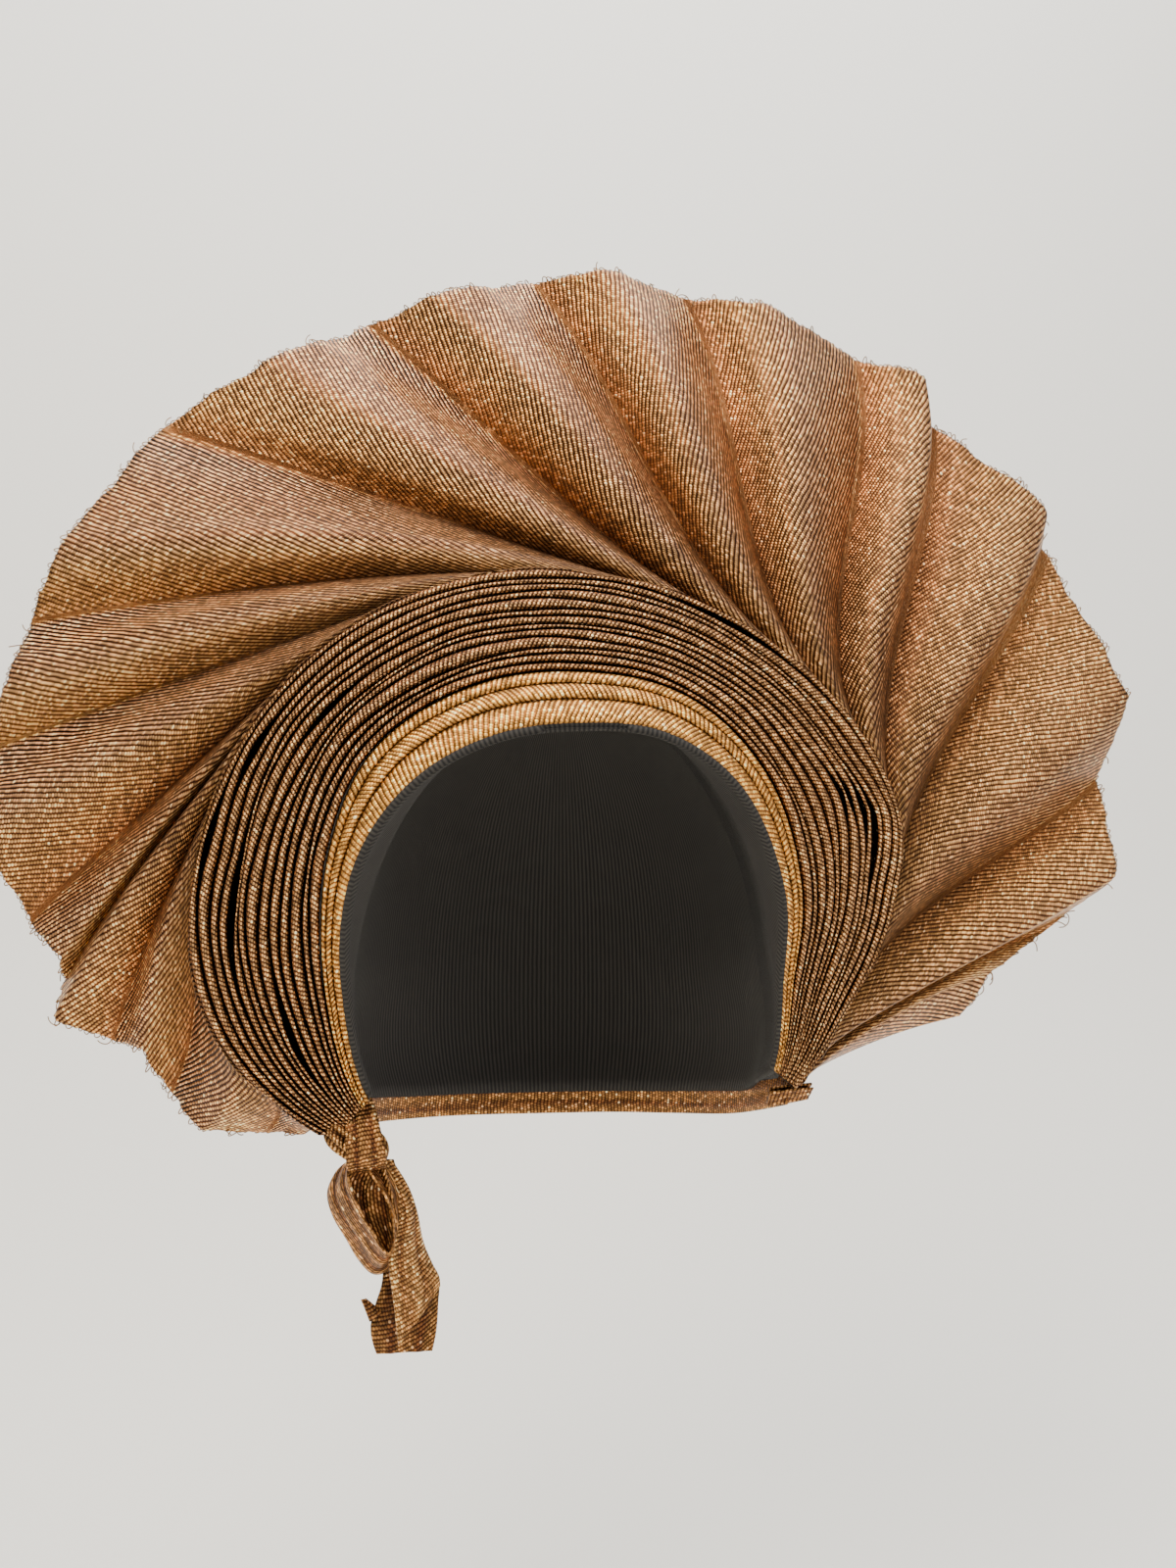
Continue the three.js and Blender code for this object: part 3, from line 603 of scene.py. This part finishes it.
# Fan
# The open part of the cloth. Its folds leave the ring as tight rolls and swirl out to the
# raw edge. The cloth is shot, and its colours are painted by the side of each fold, partly
# its own two tones and partly painted light and shade: the side that rises to a crest is
# smooth and orange, the side that falls away shows its ribs, and the crests are painted
# pale gold as a highlight.
FAN_FOLDS = [
    {"turn": 222, "reach": 124, "join": 223, "lean": 0, "rise": 2,
     "hug": 0.2, "dipTurn": 218, "dipReach": 136,
     "low": 0.1, "high": 1.0},
    {"turn": 212, "reach": 152, "join": 203, "lean": 5, "rise": 4,
     "hug": 0.3, "dipTurn": 206, "dipReach": 158,
     "low": 0.1, "high": 1.0},
    {"turn": 199, "reach": 159, "join": 160, "lean": 62, "rise": 5,
     "hug": 0.36, "dipTurn": 197, "dipReach": 170,
     "low": 0.08, "high": 0.8},
    {"turn": 193, "reach": 185, "join": 149, "lean": 52, "rise": 3,
     "hug": 0.36, "dipTurn": 189, "dipReach": 184,
     "low": 0.06, "high": 0.65},
    {"turn": 186, "reach": 181, "join": 140, "lean": 48, "rise": 6,
     "hug": 0.36, "dipTurn": 182, "dipReach": 194,
     "low": 0.3, "high": 0.8},
    {"turn": 173, "reach": 211, "join": 124, "lean": 36, "rise": 6,
     "hug": 0.36, "dipTurn": 165, "dipReach": 219,
     "low": 0.06, "high": 1.0},
    {"turn": 159, "reach": 219, "join": 97, "lean": 37, "rise": 6,
     "hug": 0.36, "dipTurn": 152, "dipReach": 226,
     "low": 0.26, "high": 1.0},
    {"turn": 146, "reach": 229, "join": 70, "lean": 38, "rise": 7,
     "hug": 0.36, "dipTurn": 130, "dipReach": 243,
     "low": 0.15, "high": 1.0},
    {"turn": 118, "reach": 239, "join": 56, "lean": 28, "rise": 9,
     "hug": 0.36, "dipTurn": 108, "dipReach": 246,
     "low": 0.08, "high": 1.0},
    {"turn": 101, "reach": 248, "join": 45, "lean": 36, "rise": 8,
     "hug": 0.36, "dipTurn": 92, "dipReach": 258,
     "low": 0.0, "high": 1.0},
    {"turn": 86, "reach": 259, "join": 35, "lean": 36, "rise": 8,
     "hug": 0.36, "dipTurn": 78, "dipReach": 262,
     "low": 0.02, "high": 0.85},
    {"turn": 71, "reach": 263, "join": 26, "lean": 38, "rise": 8,
     "hug": 0.36, "dipTurn": 61, "dipReach": 268,
     "low": 0.0, "high": 0.8},
    {"turn": 55, "reach": 271, "join": 18, "lean": 40, "rise": 7,
     "hug": 0.36, "dipTurn": 52, "dipReach": 263,
     "low": 0.0, "high": 0.62},
    {"turn": 39, "reach": 267, "join": 7, "lean": 36, "rise": 7,
     "hug": 0.36, "dipTurn": 36, "dipReach": 262,
     "low": 0.0, "high": 0.6},
    {"turn": 20, "reach": 256, "join": -10, "lean": 27, "rise": 7,
     "hug": 0.3, "dipTurn": 13, "dipReach": 238,
     "low": 0.13, "high": 0.65},
    {"turn": 3, "reach": 232, "join": -30, "lean": 25, "rise": 6,
     "hug": 0.1, "dipTurn": -1, "dipReach": 213,
     "low": 0.12, "high": 0.6},
    {"turn": -9, "reach": 177, "join": -36, "lean": 20, "rise": 3,
     "hug": 0.08, "dipTurn": -15, "dipReach": 172,
     "low": 0.1, "high": 0.9},
]
FAN_EDGE_Y = 16.0
FAN_ROOT_Y = 5.0
FAN_CLEAR = 0.6
FAN_TUCK = 6.0
FAN_LAST_JOIN = -38.0
FAN_EDGE_PULL = 0.34
FAN_ROOT_ROLL = 3.2
FAN_SWELL = 1.2
FAN_RUN = 96
FAN_ACROSS = 13
FAN_WALL = 0.6
FAN_RIPPLE = 0.7
FAN_CREST_SHADE = 1.0
FAN_VALLEY_SHADE = 0.35
EDGE_WAVER = 0.3
CLOTH_APART = 7.0

# Shot copper lurex, its tones partly the cloth's own and partly painted light and shade:
# the side of a fold that rises to the crest is smooth and orange, the crest is painted pale
# gold as a highlight, and the side that falls away opens its ribs down to painted shade. A
# fold's low and high say where in these tones its two sides end, setting painted light
# and shade fold by fold; they are fitted values
fan_lurex = lurex("shot_copper_lurex", [
    {"at": 0.0, "yarn": "#AE6E3A", "gap": "#3E2110", "ribs": 0.6, "stitches": 0.3},
    {"at": 0.08, "yarn": "#CE8A50", "gap": "#5E3318", "ribs": 0.65, "stitches": 0.35},
    {"at": 0.28, "yarn": "#EAAA62", "gap": "#522C10", "ribs": 0.85, "stitches": 0.4},
    {"at": 0.44, "yarn": "#FFC079", "gap": "#552D12", "ribs": 0.95, "stitches": 0.45},
    {"at": 0.54, "yarn": "#FFBC80", "gap": "#472410", "ribs": 1.0, "stitches": 0.5},
    {"at": 0.76, "yarn": "#FFB16E", "gap": "#2E1508", "ribs": 1.1, "stitches": 0.45},
    {"at": 0.94, "yarn": "#FFBB85", "gap": "#1A0B03", "ribs": 1.2, "stitches": 0.3},
    {"at": 1.0, "yarn": "#A4683A", "gap": "#100703", "ribs": 1.1, "stitches": 0.2},
], glint="#FFE0B0", rib=1.7, stitch=1.25, slant=-25, shine=0.36)
flutter = random.Random(3)

lines = []
for fold, after in zip(FAN_FOLDS, FAN_FOLDS[1:] + [None]):
    lines.append({**fold, "up": 1})
    middle = {key: (fold[key] + after[key]) / 2 for key in ("join", "lean", "rise")} if after \
        else {"join": FAN_LAST_JOIN, "lean": fold["lean"], "rise": fold["rise"]}
    lines.append({**middle, "turn": fold["dipTurn"], "reach": fold["dipReach"],
                  "hug": fold["hug"], "up": -1})
t = np.linspace(0, 1, FAN_RUN + 1)
paths = []
for line in lines:
    root_reach, root_y = ring_face(line["join"], 1.0)
    start = around_ring(line["join"], root_reach + GAP, root_y + FAN_ROOT_Y)
    edge = around_ring(line["turn"], line["reach"], FAN_EDGE_Y)
    span = np.linalg.norm(edge - start)
    ahead_reach, _ = ring_face(line["join"] + 1, 1.0)
    along = around_ring(line["join"] + 1, ahead_reach, 0) - around_ring(
        line["join"], root_reach, 0)
    along /= np.linalg.norm(along)
    a = math.radians(line["turn"] + line["lean"])
    outwards = np.array([math.cos(a), 0, math.sin(a)])
    handles = [start, start + along * span * line["hug"],
               edge - outwards * span * FAN_EDGE_PULL, edge]
    weights = [(1 - t) ** 3, 3 * (1 - t) ** 2 * t, 3 * (1 - t) * t**2, t**3]
    path = sum(w[:, None] * h for w, h in zip(weights, handles))
    path[:, 1] = start[1] + (edge[1] - start[1]) * t
    paths.append(path)
grid, sides, tones = [], [], []
for k in range(len(lines)):
    last = k == len(lines) - 1
    for step in range(1 if last else FAN_ACROSS):
        u = step / FAN_ACROSS
        after = lines[k] if last else lines[k + 1]
        path = paths[k] if last else paths[k] * (1 - u) + paths[k + 1] * u
        up = lines[k]["up"]
        from_crest = u if up > 0 else 1 - u
        size = (lines[k]["rise"] + (after["rise"] - lines[k]["rise"]) * u) * FAN_SWELL
        swell = (FAN_ROOT_ROLL + (size - FAN_ROOT_ROLL) * smooth(t * 1.7)) * (
            1 - 0.3 * smooth((t - 0.7) / 0.3))
        cusp = 2 * math.cos(math.pi * from_crest / 2) - 1
        soft = 0.5 * cusp + 0.5 * math.cos(math.pi * from_crest)
        profile = cusp + (soft - cusp) * smooth((t - 0.5) / 0.5)
        point = path.copy()
        point[:, 1] -= swell * profile
        grid.append(point)
        sides.append(from_crest * up)
        # Painted light and shade: each row's tone runs from the pale crest, at 0.5, to the fold's low
        # or high.
        foot = lines[k]["high"] if up > 0 else after.get("low", 0.0)
        tones.append(0.5 + from_crest * (foot - 0.5))
points = np.array(grid)
outer = arc_lengths(points, 0)[:, -1:]
ripple = np.zeros(points.shape[:2])
scallop = np.zeros(len(points))
for wave in (19, 27, 41):
    phase, drift = flutter.uniform(0, 6.3), flutter.uniform(1.5, 4)
    ripple += np.sin(outer * 2 * math.pi / wave + t * drift + phase) * wave / 30
for wave in (6, 11, 23, 37):
    scallop += np.sin(outer[:, 0] * 2 * math.pi / wave + flutter.uniform(0, 6.3)) * wave**0.5 / 4
points[..., 1] += FAN_RIPPLE * ripple * smooth(t * 1.4) / 2
turns = (np.degrees(np.arctan2(points[..., 2] - RING_CENTRE_Z, points[..., 0])) + 450) % 360 - 90
reach = np.hypot(points[..., 0], points[..., 2] - RING_CENTRE_Z)
reach += EDGE_WAVER * scallop[:, None] * smooth((t - 0.9) / 0.1)
inside = (turns > RING_START) & (turns < RING_END)
ring_reach, _ = ring_face(np.clip(turns, RING_START, RING_END), 1.0)
points = around_ring(turns, np.where(inside, np.maximum(reach, ring_reach + FAN_CLEAR), reach),
                     points[..., 1])
tuck = around_ring(turns[:, :1], ring_reach[:, :1] + FAN_CLEAR / 4,
                   points[:, :1, 1] + FAN_TUCK)
points = np.concatenate([tuck, points], axis=1)
t = np.concatenate([t[:1], t])
across = arc_lengths(points, 0)
down = arc_lengths(points[:, ::-1], 1)[:, ::-1]
crest_rows = np.arange(0, len(points), 2 * FAN_ACROSS)
nearest = crest_rows[np.abs(np.arange(len(points))[:, None] - crest_rows).argmin(axis=1)]
uv = np.stack([across - across[nearest] + nearest[:, None] * CLOTH_APART, down[nearest]], axis=-1)
# Painted shade: the shade attribute darkens the cloth toward the root, more so in the valleys.
fan = cloth("fan_cloth", points, uv, fan_lurex, values={
    "tone": np.broadcast_to(np.array(tones)[:, None], points.shape[:2]),
    "shade": np.clip((1 - smooth(t / 0.9)) * (
        FAN_CREST_SHADE + FAN_VALLEY_SHADE * np.abs(sides)[:, None] ** 3), 0, 1)})
give_wall(fan, FAN_WALL)
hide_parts("fan")

# Free edge
# The cloth is cut, not hemmed: the cross yarns stand out of the edge as small loops, and a
# few have pulled loose into stray threads.
LOOP_PITCH = 2.1
LOOP_HIGH = 2.6
LOOP_STEPS = 9
THREAD_SIDES = 4
THREAD_THICK = 0.42
THREAD_SUNK = 0.3
STRAY_STEPS = 9
STRAYS = 80
STRAY_LONG = 6.5
fray = random.Random(11)


def threads(name, runs, thick, thread_material):
    """One mesh of thin threads along runs of points in mm."""
    spots, faces = [], []
    for run in runs:
        run = np.array(run)
        ahead = np.gradient(run, axis=0)
        ahead /= np.linalg.norm(ahead, axis=1)[:, None]
        side = np.cross(ahead, [0.3, 0.9, 0.1])
        side /= np.linalg.norm(side, axis=1)[:, None]
        rise = np.cross(side, ahead)
        first = len(spots)
        for p, s, r in zip(run, side, rise):
            for corner in range(THREAD_SIDES):
                a = 2 * math.pi * corner / THREAD_SIDES
                spots.append(p + (s * math.cos(a) + r * math.sin(a)) * thick / 2)
        for i in range(len(run) - 1):
            for j in range(THREAD_SIDES):
                k = (j + 1) % THREAD_SIDES
                row = first + i * THREAD_SIDES
                faces.append((row + j, row + j + THREAD_SIDES, row + k + THREAD_SIDES, row + k))
        faces.append([first + j for j in range(THREAD_SIDES)])
        faces.append([len(spots) - 1 - j for j in range(THREAD_SIDES)])
    made = bpy.data.meshes.new(name)
    made.from_pydata((np.array(spots) * MM).tolist(), [], faces)
    made.polygons.foreach_set("use_smooth", np.ones(len(made.polygons), bool))
    made.materials.append(thread_material)
    piece = bpy.data.objects.new(name, made)
    bpy.context.collection.objects.link(piece)
    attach(piece, "root")
    return piece


thread_metal, tree = material("lurex_thread")
along_thread = node(tree, "ShaderNodeTexNoise", {
    "Vector": node(tree, "ShaderNodeTexCoord").outputs["Object"], "Scale": 400.0})
tint = node(tree, "ShaderNodeMix", {
    0: along_thread.outputs["Fac"], 6: linear("#30190A"), 7: linear("#B88850")},
    data_type="RGBA")
shader = node(tree, "ShaderNodeBsdfPrincipled", {
    "Base Color": tint.outputs[2], "Metallic": 0.5, "Roughness": 0.4})
node(tree, "ShaderNodeOutputMaterial", {"Surface": shader.outputs[0]})

rim_line, rim_in = points[:, -1], points[:, -3]
rim_run = across[:, -1]
spots_along = np.arange(2.0, rim_run[-1] - 2, LOOP_PITCH)


def on_rim(at):
    """The free edge's point at a run along it, with its outward direction."""
    p = np.array([np.interp(at, rim_run, rim_line[:, i]) for i in range(3)])
    q = np.array([np.interp(at, rim_run, rim_in[:, i]) for i in range(3)])
    return p, (p - q) / np.linalg.norm(p - q)


runs = []
for at in spots_along:
    high = LOOP_HIGH * fray.uniform(0.3, 1.0)
    half = LOOP_PITCH * fray.uniform(0.3, 0.62)
    lean = fray.uniform(-0.9, 0.9)
    out_y = fray.uniform(-0.7, 0.7)
    run = []
    for step in range(LOOP_STEPS):
        a = math.pi * step / (LOOP_STEPS - 1)
        p, away = on_rim(at - half * math.cos(a))
        rise = high * math.sin(a)
        run.append(p + away * (rise - THREAD_SUNK) + np.array([lean * 0.4, out_y, lean * 0.3]) * rise)
    runs.append(run)
for _ in range(STRAYS):
    p, away = on_rim(fray.uniform(5, rim_run[-1] - 5))
    side = np.cross(away, [0, 1, 0])
    long = STRAY_LONG * fray.uniform(0.3, 1.0)
    curl, lean, out_y = fray.uniform(-3, 3), fray.uniform(-0.8, 0.8), fray.uniform(-0.4, 0.4)
    runs.append([p - away * THREAD_SUNK + long * s * (away * math.cos(lean + curl * s)
                 + side * math.sin(lean + curl * s) + np.array([0, out_y * s, 0]))
                 for s in np.linspace(0, 1, STRAY_STEPS)])
edge_threads = threads("edge_threads", runs, THREAD_THICK, thread_metal)


# Ties
# The ends of the same cloth: wound into a knot under the left gather, one end left as a
# bow loop, one hanging in a loose fold, and the tie that runs round the nape to the knot.
KNOT = {"x": -73, "y": -8, "z": -163, "along": 25, "deep": 15, "high": 15, "turn": -32}
KNOT_PLEATS = 9
TIE_WALL = 0.8
LAYER_GAP = 0.9
KNOT_WRAP = [
    {"ax": -79.5, "ay": -3, "az": -145, "bx": -70.5, "by": -5, "bz": -143},
    {"ax": -77.5, "ay": -9, "az": -153, "bx": -67.0, "by": -9, "bz": -151},
    {"ax": -76.5, "ay": -14, "az": -161, "bx": -64.5, "by": -13, "bz": -159},
    {"ax": -76.0, "ay": -15.5, "az": -167, "bx": -62.8, "by": -13, "bz": -166},
    {"ax": -75.5, "ay": -11, "az": -172.5, "bx": -62.6, "by": -9, "bz": -171.5},
    {"ax": -74.0, "ay": -4, "az": -173.5, "bx": -63.5, "by": -2, "bz": -172},
]
LOOP = [
    {"ax": -71.0, "ay": -9, "az": -170.5, "bx": -69.0, "by": 1, "bz": -169.5},
    {"ax": -74.8, "ay": -11, "az": -171.6, "bx": -77.3, "by": 2, "bz": -173.2},
    {"ax": -74.8, "ay": -12, "az": -175.4, "bx": -81.4, "by": 3, "bz": -177.7},
    {"ax": -73.5, "ay": -12, "az": -179.2, "bx": -83.0, "by": 3, "bz": -183.4},
    {"ax": -70.3, "ay": -12, "az": -186.3, "bx": -80.8, "by": 3, "bz": -190.6},
    {"ax": -66.0, "ay": -12, "az": -193.0, "bx": -75.9, "by": 3, "bz": -198.6},
    {"ax": -63.0, "ay": -12, "az": -198.0, "bx": -71.8, "by": 4, "bz": -206.0},
    {"ax": -61.2, "ay": -11, "az": -200.5, "bx": -67.0, "by": 4, "bz": -211.2},
    {"ax": -60.0, "ay": -11, "az": -199.5, "bx": -62.3, "by": 4, "bz": -210.4},
    {"ax": -59.6, "ay": -11, "az": -195.2, "bx": -59.0, "by": 4, "bz": -203.2},
    {"ax": -60.2, "ay": -11, "az": -188.9, "bx": -57.3, "by": 3, "bz": -193.1},
    {"ax": -62.6, "ay": -11, "az": -181.9, "bx": -58.8, "by": 2, "bz": -182.8},
    {"ax": -66.5, "ay": -11, "az": -175.8, "bx": -62.6, "by": 1, "bz": -174.1},
    {"ax": -69.5, "ay": -9, "az": -171.5, "bx": -68.0, "by": 1, "bz": -170.0},
]
LOOP_INSIDE = [
    {"ax": -74.5, "ay": -7, "az": -172.0, "bx": -63.0, "by": -7, "bz": -172.5},
    {"ax": -76.5, "ay": -6, "az": -178.0, "bx": -60.5, "by": -7, "bz": -180.0},
    {"ax": -75.0, "ay": -5, "az": -186.0, "bx": -58.6, "by": -6, "bz": -188.0},
    {"ax": -71.0, "ay": -5, "az": -194.0, "bx": -58.6, "by": -6, "bz": -196.0},
    {"ax": -66.0, "ay": -5, "az": -202.0, "bx": -60.0, "by": -6, "bz": -203.0},
]
TAIL_FRONT = [
    {"ax": -67.0, "ay": 1, "az": -170.0, "bx": -61.0, "by": 2, "bz": -171.5},
    {"ax": -61.5, "ay": 2, "az": -180.0, "bx": -55.0, "by": 5, "bz": -182.0},
    {"ax": -58.0, "ay": -1, "az": -190.5, "bx": -51.6, "by": 5, "bz": -191.0},
    {"ax": -60.3, "ay": -5, "az": -196.6, "bx": -49.4, "by": 5, "bz": -201.0},
    {"ax": -60.9, "ay": -7, "az": -206.2, "bx": -46.2, "by": 4, "bz": -208.5},
    {"ax": -59.3, "ay": -8, "az": -216.5, "bx": -43.6, "by": 3, "bz": -213.0},
    {"ax": -57.2, "ay": -8, "az": -232.3, "bx": -43.0, "by": 2, "bz": -216.2},
]
# painted_shadow paints shadow on the back layer where the front leg lies over it.
TAIL_BACK = [
    {"ax": -66.5, "ay": 2, "az": -171.0, "bx": -60.0, "by": 3, "bz": -172.0, "painted_shadow": 0.5},
    {"ax": -64.5, "ay": 4, "az": -181.0, "bx": -57.5, "by": 6, "bz": -182.0, "painted_shadow": 0.7},
    {"ax": -63.5, "ay": 5, "az": -192.0, "bx": -57.0, "by": 8, "bz": -192.0, "painted_shadow": 0.9},
    {"ax": -63.0, "ay": 6, "az": -204.0, "bx": -56.0, "by": 10, "bz": -203.0, "painted_shadow": 0.8},
    {"ax": -63.2, "ay": 6, "az": -215.0, "bx": -52.0, "by": 12, "bz": -210.0, "painted_shadow": 0.8},
    {"ax": -65.5, "ay": 5, "az": -222.5, "bx": -43.6, "by": 12, "bz": -216.5, "painted_shadow": 1.0},
    {"ax": -67.0, "ay": 4, "az": -229.0, "bx": -43.2, "by": 11, "bz": -225.0, "painted_shadow": 0.85},
    {"ax": -66.6, "ay": 4, "az": -234.0, "bx": -43.8, "by": 10, "bz": -234.0, "painted_shadow": 0.3},
    {"ax": -65.0, "ay": 5, "az": -239.3, "bx": -45.2, "by": 9, "bz": -240.6, "painted_shadow": 0.1},
]
TAIL_CURL = [
    {"ax": -70.6, "ay": 1, "az": -219.4, "bx": -69.2, "by": 3, "bz": -219.9},
    {"ax": -69.0, "ay": 2, "az": -223.6, "bx": -65.8, "by": 4, "bz": -222.8},
    {"ax": -67.6, "ay": 3, "az": -227.5, "bx": -63.5, "by": 5, "bz": -225.5},
]
STRAP_END = [
    {"ax": 79.0, "ay": -3, "az": -149.5, "bx": 79.0, "by": 2, "bz": -154.5},
    {"ax": 86.0, "ay": -4, "az": -148.5, "bx": 86.0, "by": 1, "bz": -153.5},
    {"ax": 95.5, "ay": -4, "az": -148.0, "bx": 94.5, "by": 1, "bz": -152.0},
]
NAPE_TIE = [
    {"ax": 88, "ay": -6, "az": -143.0, "bx": 86, "by": -1, "bz": -155.0},
    {"ax": 79, "ay": 18, "az": -147.0, "bx": 81, "by": 19, "bz": -160.0},
    {"ax": 72, "ay": 38, "az": -151.0, "bx": 74, "by": 40, "bz": -164.5},
    {"ax": 56, "ay": 64, "az": -153.5, "bx": 58, "by": 66, "bz": -168.0},
    {"ax": 32, "ay": 83, "az": -155.5, "bx": 33, "by": 85, "bz": -170.0},
    {"ax": 0, "ay": 91, "az": -156.5, "bx": 0, "by": 92, "bz": -171.0},
    {"ax": -32, "ay": 83, "az": -155.5, "bx": -33, "by": 85, "bz": -170.0},
    {"ax": -56, "ay": 64, "az": -153.5, "bx": -58, "by": 66, "bz": -168.0},
    {"ax": -72, "ay": 38, "az": -152.0, "bx": -74, "by": 40, "bz": -165.5},
    {"ax": -78, "ay": 18, "az": -152.5, "bx": -79, "by": 19, "bz": -165.0},
    {"ax": -77, "ay": 1, "az": -156.0, "bx": -76, "by": 1, "bz": -168.0},
]
# Tie tones run from painted shade in the crease hollows, at 0, to a painted highlight on the ridges,
# at 1.
TIE_TONES = [
    {"at": 0.0, "yarn": "#84502A", "gap": "#3A1C0C", "ribs": 0.8, "stitches": 0.4},
    {"at": 1.0, "yarn": "#D09656", "gap": "#54300F", "ribs": 0.8, "stitches": 0.4},
]
cross_ribbed = lurex("copper_lurex_cross_ribs", TIE_TONES, "#FFE3B4", 1.5, 1.1, -84, 0.4)
# The same cloth painted lighter than the cross-ribbed ties, as painted light on the tail's front leg
# and on the knot.
lit_slant_ribbed = lurex("copper_lurex_slant_ribs_painted_lighter", [
    {"at": 0.0, "yarn": "#A8703C", "gap": "#4A2810", "ribs": 0.8, "stitches": 0.4},
    {"at": 1.0, "yarn": "#F0B670", "gap": "#6A4018", "ribs": 0.8, "stitches": 0.4},
], "#FFE3B4", 1.4, 1.1, -66, 0.4)
long_ribbed = lurex("copper_lurex_long_ribs", TIE_TONES, "#FFE3B4", 1.3, 1.8, -8, 0.4)


def strip(rows, steps, across_steps, bow, crumple, layers=1):
    """A strip of cloth between edges a and b of a table's rows: points, UV, and the painted
    light and shade of its tone and shade attributes. It bows to the front, creases along its
    length, and may be folded in layers."""
    keyed = [{"painted_shadow": 0.0, **row, "turn": number} for number, row in enumerate(rows)]
    where = np.linspace(0, len(rows) - 1, steps)
    a = np.stack([column(keyed, key, where) for key in ("ax", "ay", "az")], axis=-1)
    b = np.stack([column(keyed, key, where) for key in ("bx", "by", "bz")], axis=-1)
    spread = np.linspace(0, layers, across_steps * layers + 1)
    u = np.arccos(np.cos(spread * math.pi)) / math.pi
    points = a[:, None] + (b - a)[:, None] * u[:, None]
    run = np.gradient((a + b) / 2, axis=0)
    face = np.cross(b - a, run)
    face /= np.linalg.norm(face, axis=1)[:, None]
    face *= np.where(face[:, 1:2] > 0, -1, 1) if bow else 1
    crease = crumple * (np.sin(u * 14 + 1) + 0.6 * np.sin(u * 27 + where[:, None] * 1.3))
    out = bow * np.sin(u * math.pi) + crease + (spread - layers / 2) * (layers > 1) * LAYER_GAP
    points = points + face[:, None] * out[..., None]
    uv = np.stack([arc_lengths(points, 1), arc_lengths(points, 0)], axis=-1)
    # Painted light and shade: the crease ridges are painted lighter and their hollows darker.
    tone = np.clip(0.5 + 0.4 * np.broadcast_to(crease, uv.shape[:2]) / max(crumple, 0.01), 0, 1)
    painted_shadow = column(keyed, "painted_shadow", where)[:, None]
    return points, uv, {"tone": tone, "shade": np.broadcast_to(painted_shadow, tone.shape)}


def tie(name, parts, slot_node):
    """One tie made of strips, each with its material: as wide as its strips are."""
    pieces = [cloth(name, points, uv, look, values=values)
              for (points, uv, values), look in parts]
    for piece in pieces:
        give_wall(piece, TIE_WALL, 0.0)
    if len(pieces) > 1:
        with bpy.context.temp_override(active_object=pieces[0], selected_editable_objects=pieces):
            bpy.ops.object.join()
    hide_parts(slot_node)


tie("tie_loop_cloth", [(strip(LOOP, 100, 20, 0, 0.3), long_ribbed),
                       (strip(LOOP_INSIDE, 50, 20, -1.0, 0.3), long_ribbed)],
    "tie_loop")
tie("tie_tail_cloth", [(strip(TAIL_FRONT, 70, 22, 1.2, 0.2), lit_slant_ribbed),
                       (strip(TAIL_BACK, 60, 22, 0, 0.2), cross_ribbed),
                       (strip(TAIL_CURL, 20, 8, 0.6, 0.1), cross_ribbed)],
    "tie_tail")
tie("tie_end_cloth", [(strip(STRAP_END, 24, 10, 0, 0.1, layers=3), cross_ribbed)],
    "tie_end")
tie("nape_tie_cloth", [(strip(NAPE_TIE, 160, 14, 0, 0.15), cross_ribbed)],
    "nape_tie")

# The knot's bundle is an ellipsoid of gathered pleats; the wrap over it is a strip
bpy.ops.mesh.primitive_uv_sphere_add(segments=96, ring_count=48, radius=1)
knot = bpy.context.object
knot.name = "side_knot_cloth"
bpy.ops.object.mode_set(mode="EDIT")
bpy.ops.mesh.select_all(action="SELECT")
bpy.ops.transform.rotate(value=math.radians(90), orient_axis="Y", center_override=(0, 0, 0))
bpy.ops.object.mode_set(mode="OBJECT")
co = np.zeros(len(knot.data.vertices) * 3)
knot.data.vertices.foreach_get("co", co)
co = co.reshape(-1, 3)
angle = np.arctan2(co[:, 1], co[:, 2])
pleat = np.cos(angle * KNOT_PLEATS + co[:, 0] * 1.5)
co[:, 1:] *= (0.9 + 0.16 * pleat - 0.1 * np.cos(co[:, 0] * 3))[:, None]
co *= np.array([KNOT["along"], KNOT["deep"], KNOT["high"]]) / 2
a = math.radians(KNOT["turn"])
x, z = co[:, 0].copy(), co[:, 2].copy()
knot_uv = np.stack([angle * KNOT["high"] / 2, x], axis=-1)
co[:, 0] = x * math.cos(a) - z * math.sin(a) + KNOT["x"]
co[:, 2] = x * math.sin(a) + z * math.cos(a) + KNOT["z"]
co[:, 1] += KNOT["y"]
knot.data.vertices.foreach_set("co", (co * MM).ravel())
knot.data.uv_layers[0].name = "cloth"
corner = np.zeros(len(knot.data.loops), np.int32)
knot.data.loops.foreach_get("vertex_index", corner)
knot.data.uv_layers[0].data.foreach_set("uv", knot_uv[corner].astype(np.float32).ravel())
# Painted light and shade: the knot's pleat ridges are painted lighter and their hollows darker.
depth = knot.data.attributes.new("tone", "FLOAT", "POINT")
depth.data.foreach_set("value", (0.5 + 0.5 * pleat).astype(np.float32))
low = knot.data.attributes.new("shade", "FLOAT", "POINT")
low.data.foreach_set("value", (0.45 - 0.45 * pleat).astype(np.float32))
knot.data.materials.append(lit_slant_ribbed)
knot.data.polygons.foreach_set("use_smooth", np.ones(len(knot.data.polygons), bool))
wrap_points, wrap_uv, wrap_values = strip(KNOT_WRAP, 50, 20, 0.8, 0.2)
wrap = cloth("knot_wrap", wrap_points, wrap_uv, cross_ribbed, values=wrap_values)
give_wall(wrap, TIE_WALL, 0.0)
with bpy.context.temp_override(active_object=knot, selected_editable_objects=[knot, wrap]):
    bpy.ops.object.join()
knot.select_set(False)
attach(knot, "root")
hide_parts("side_knot")
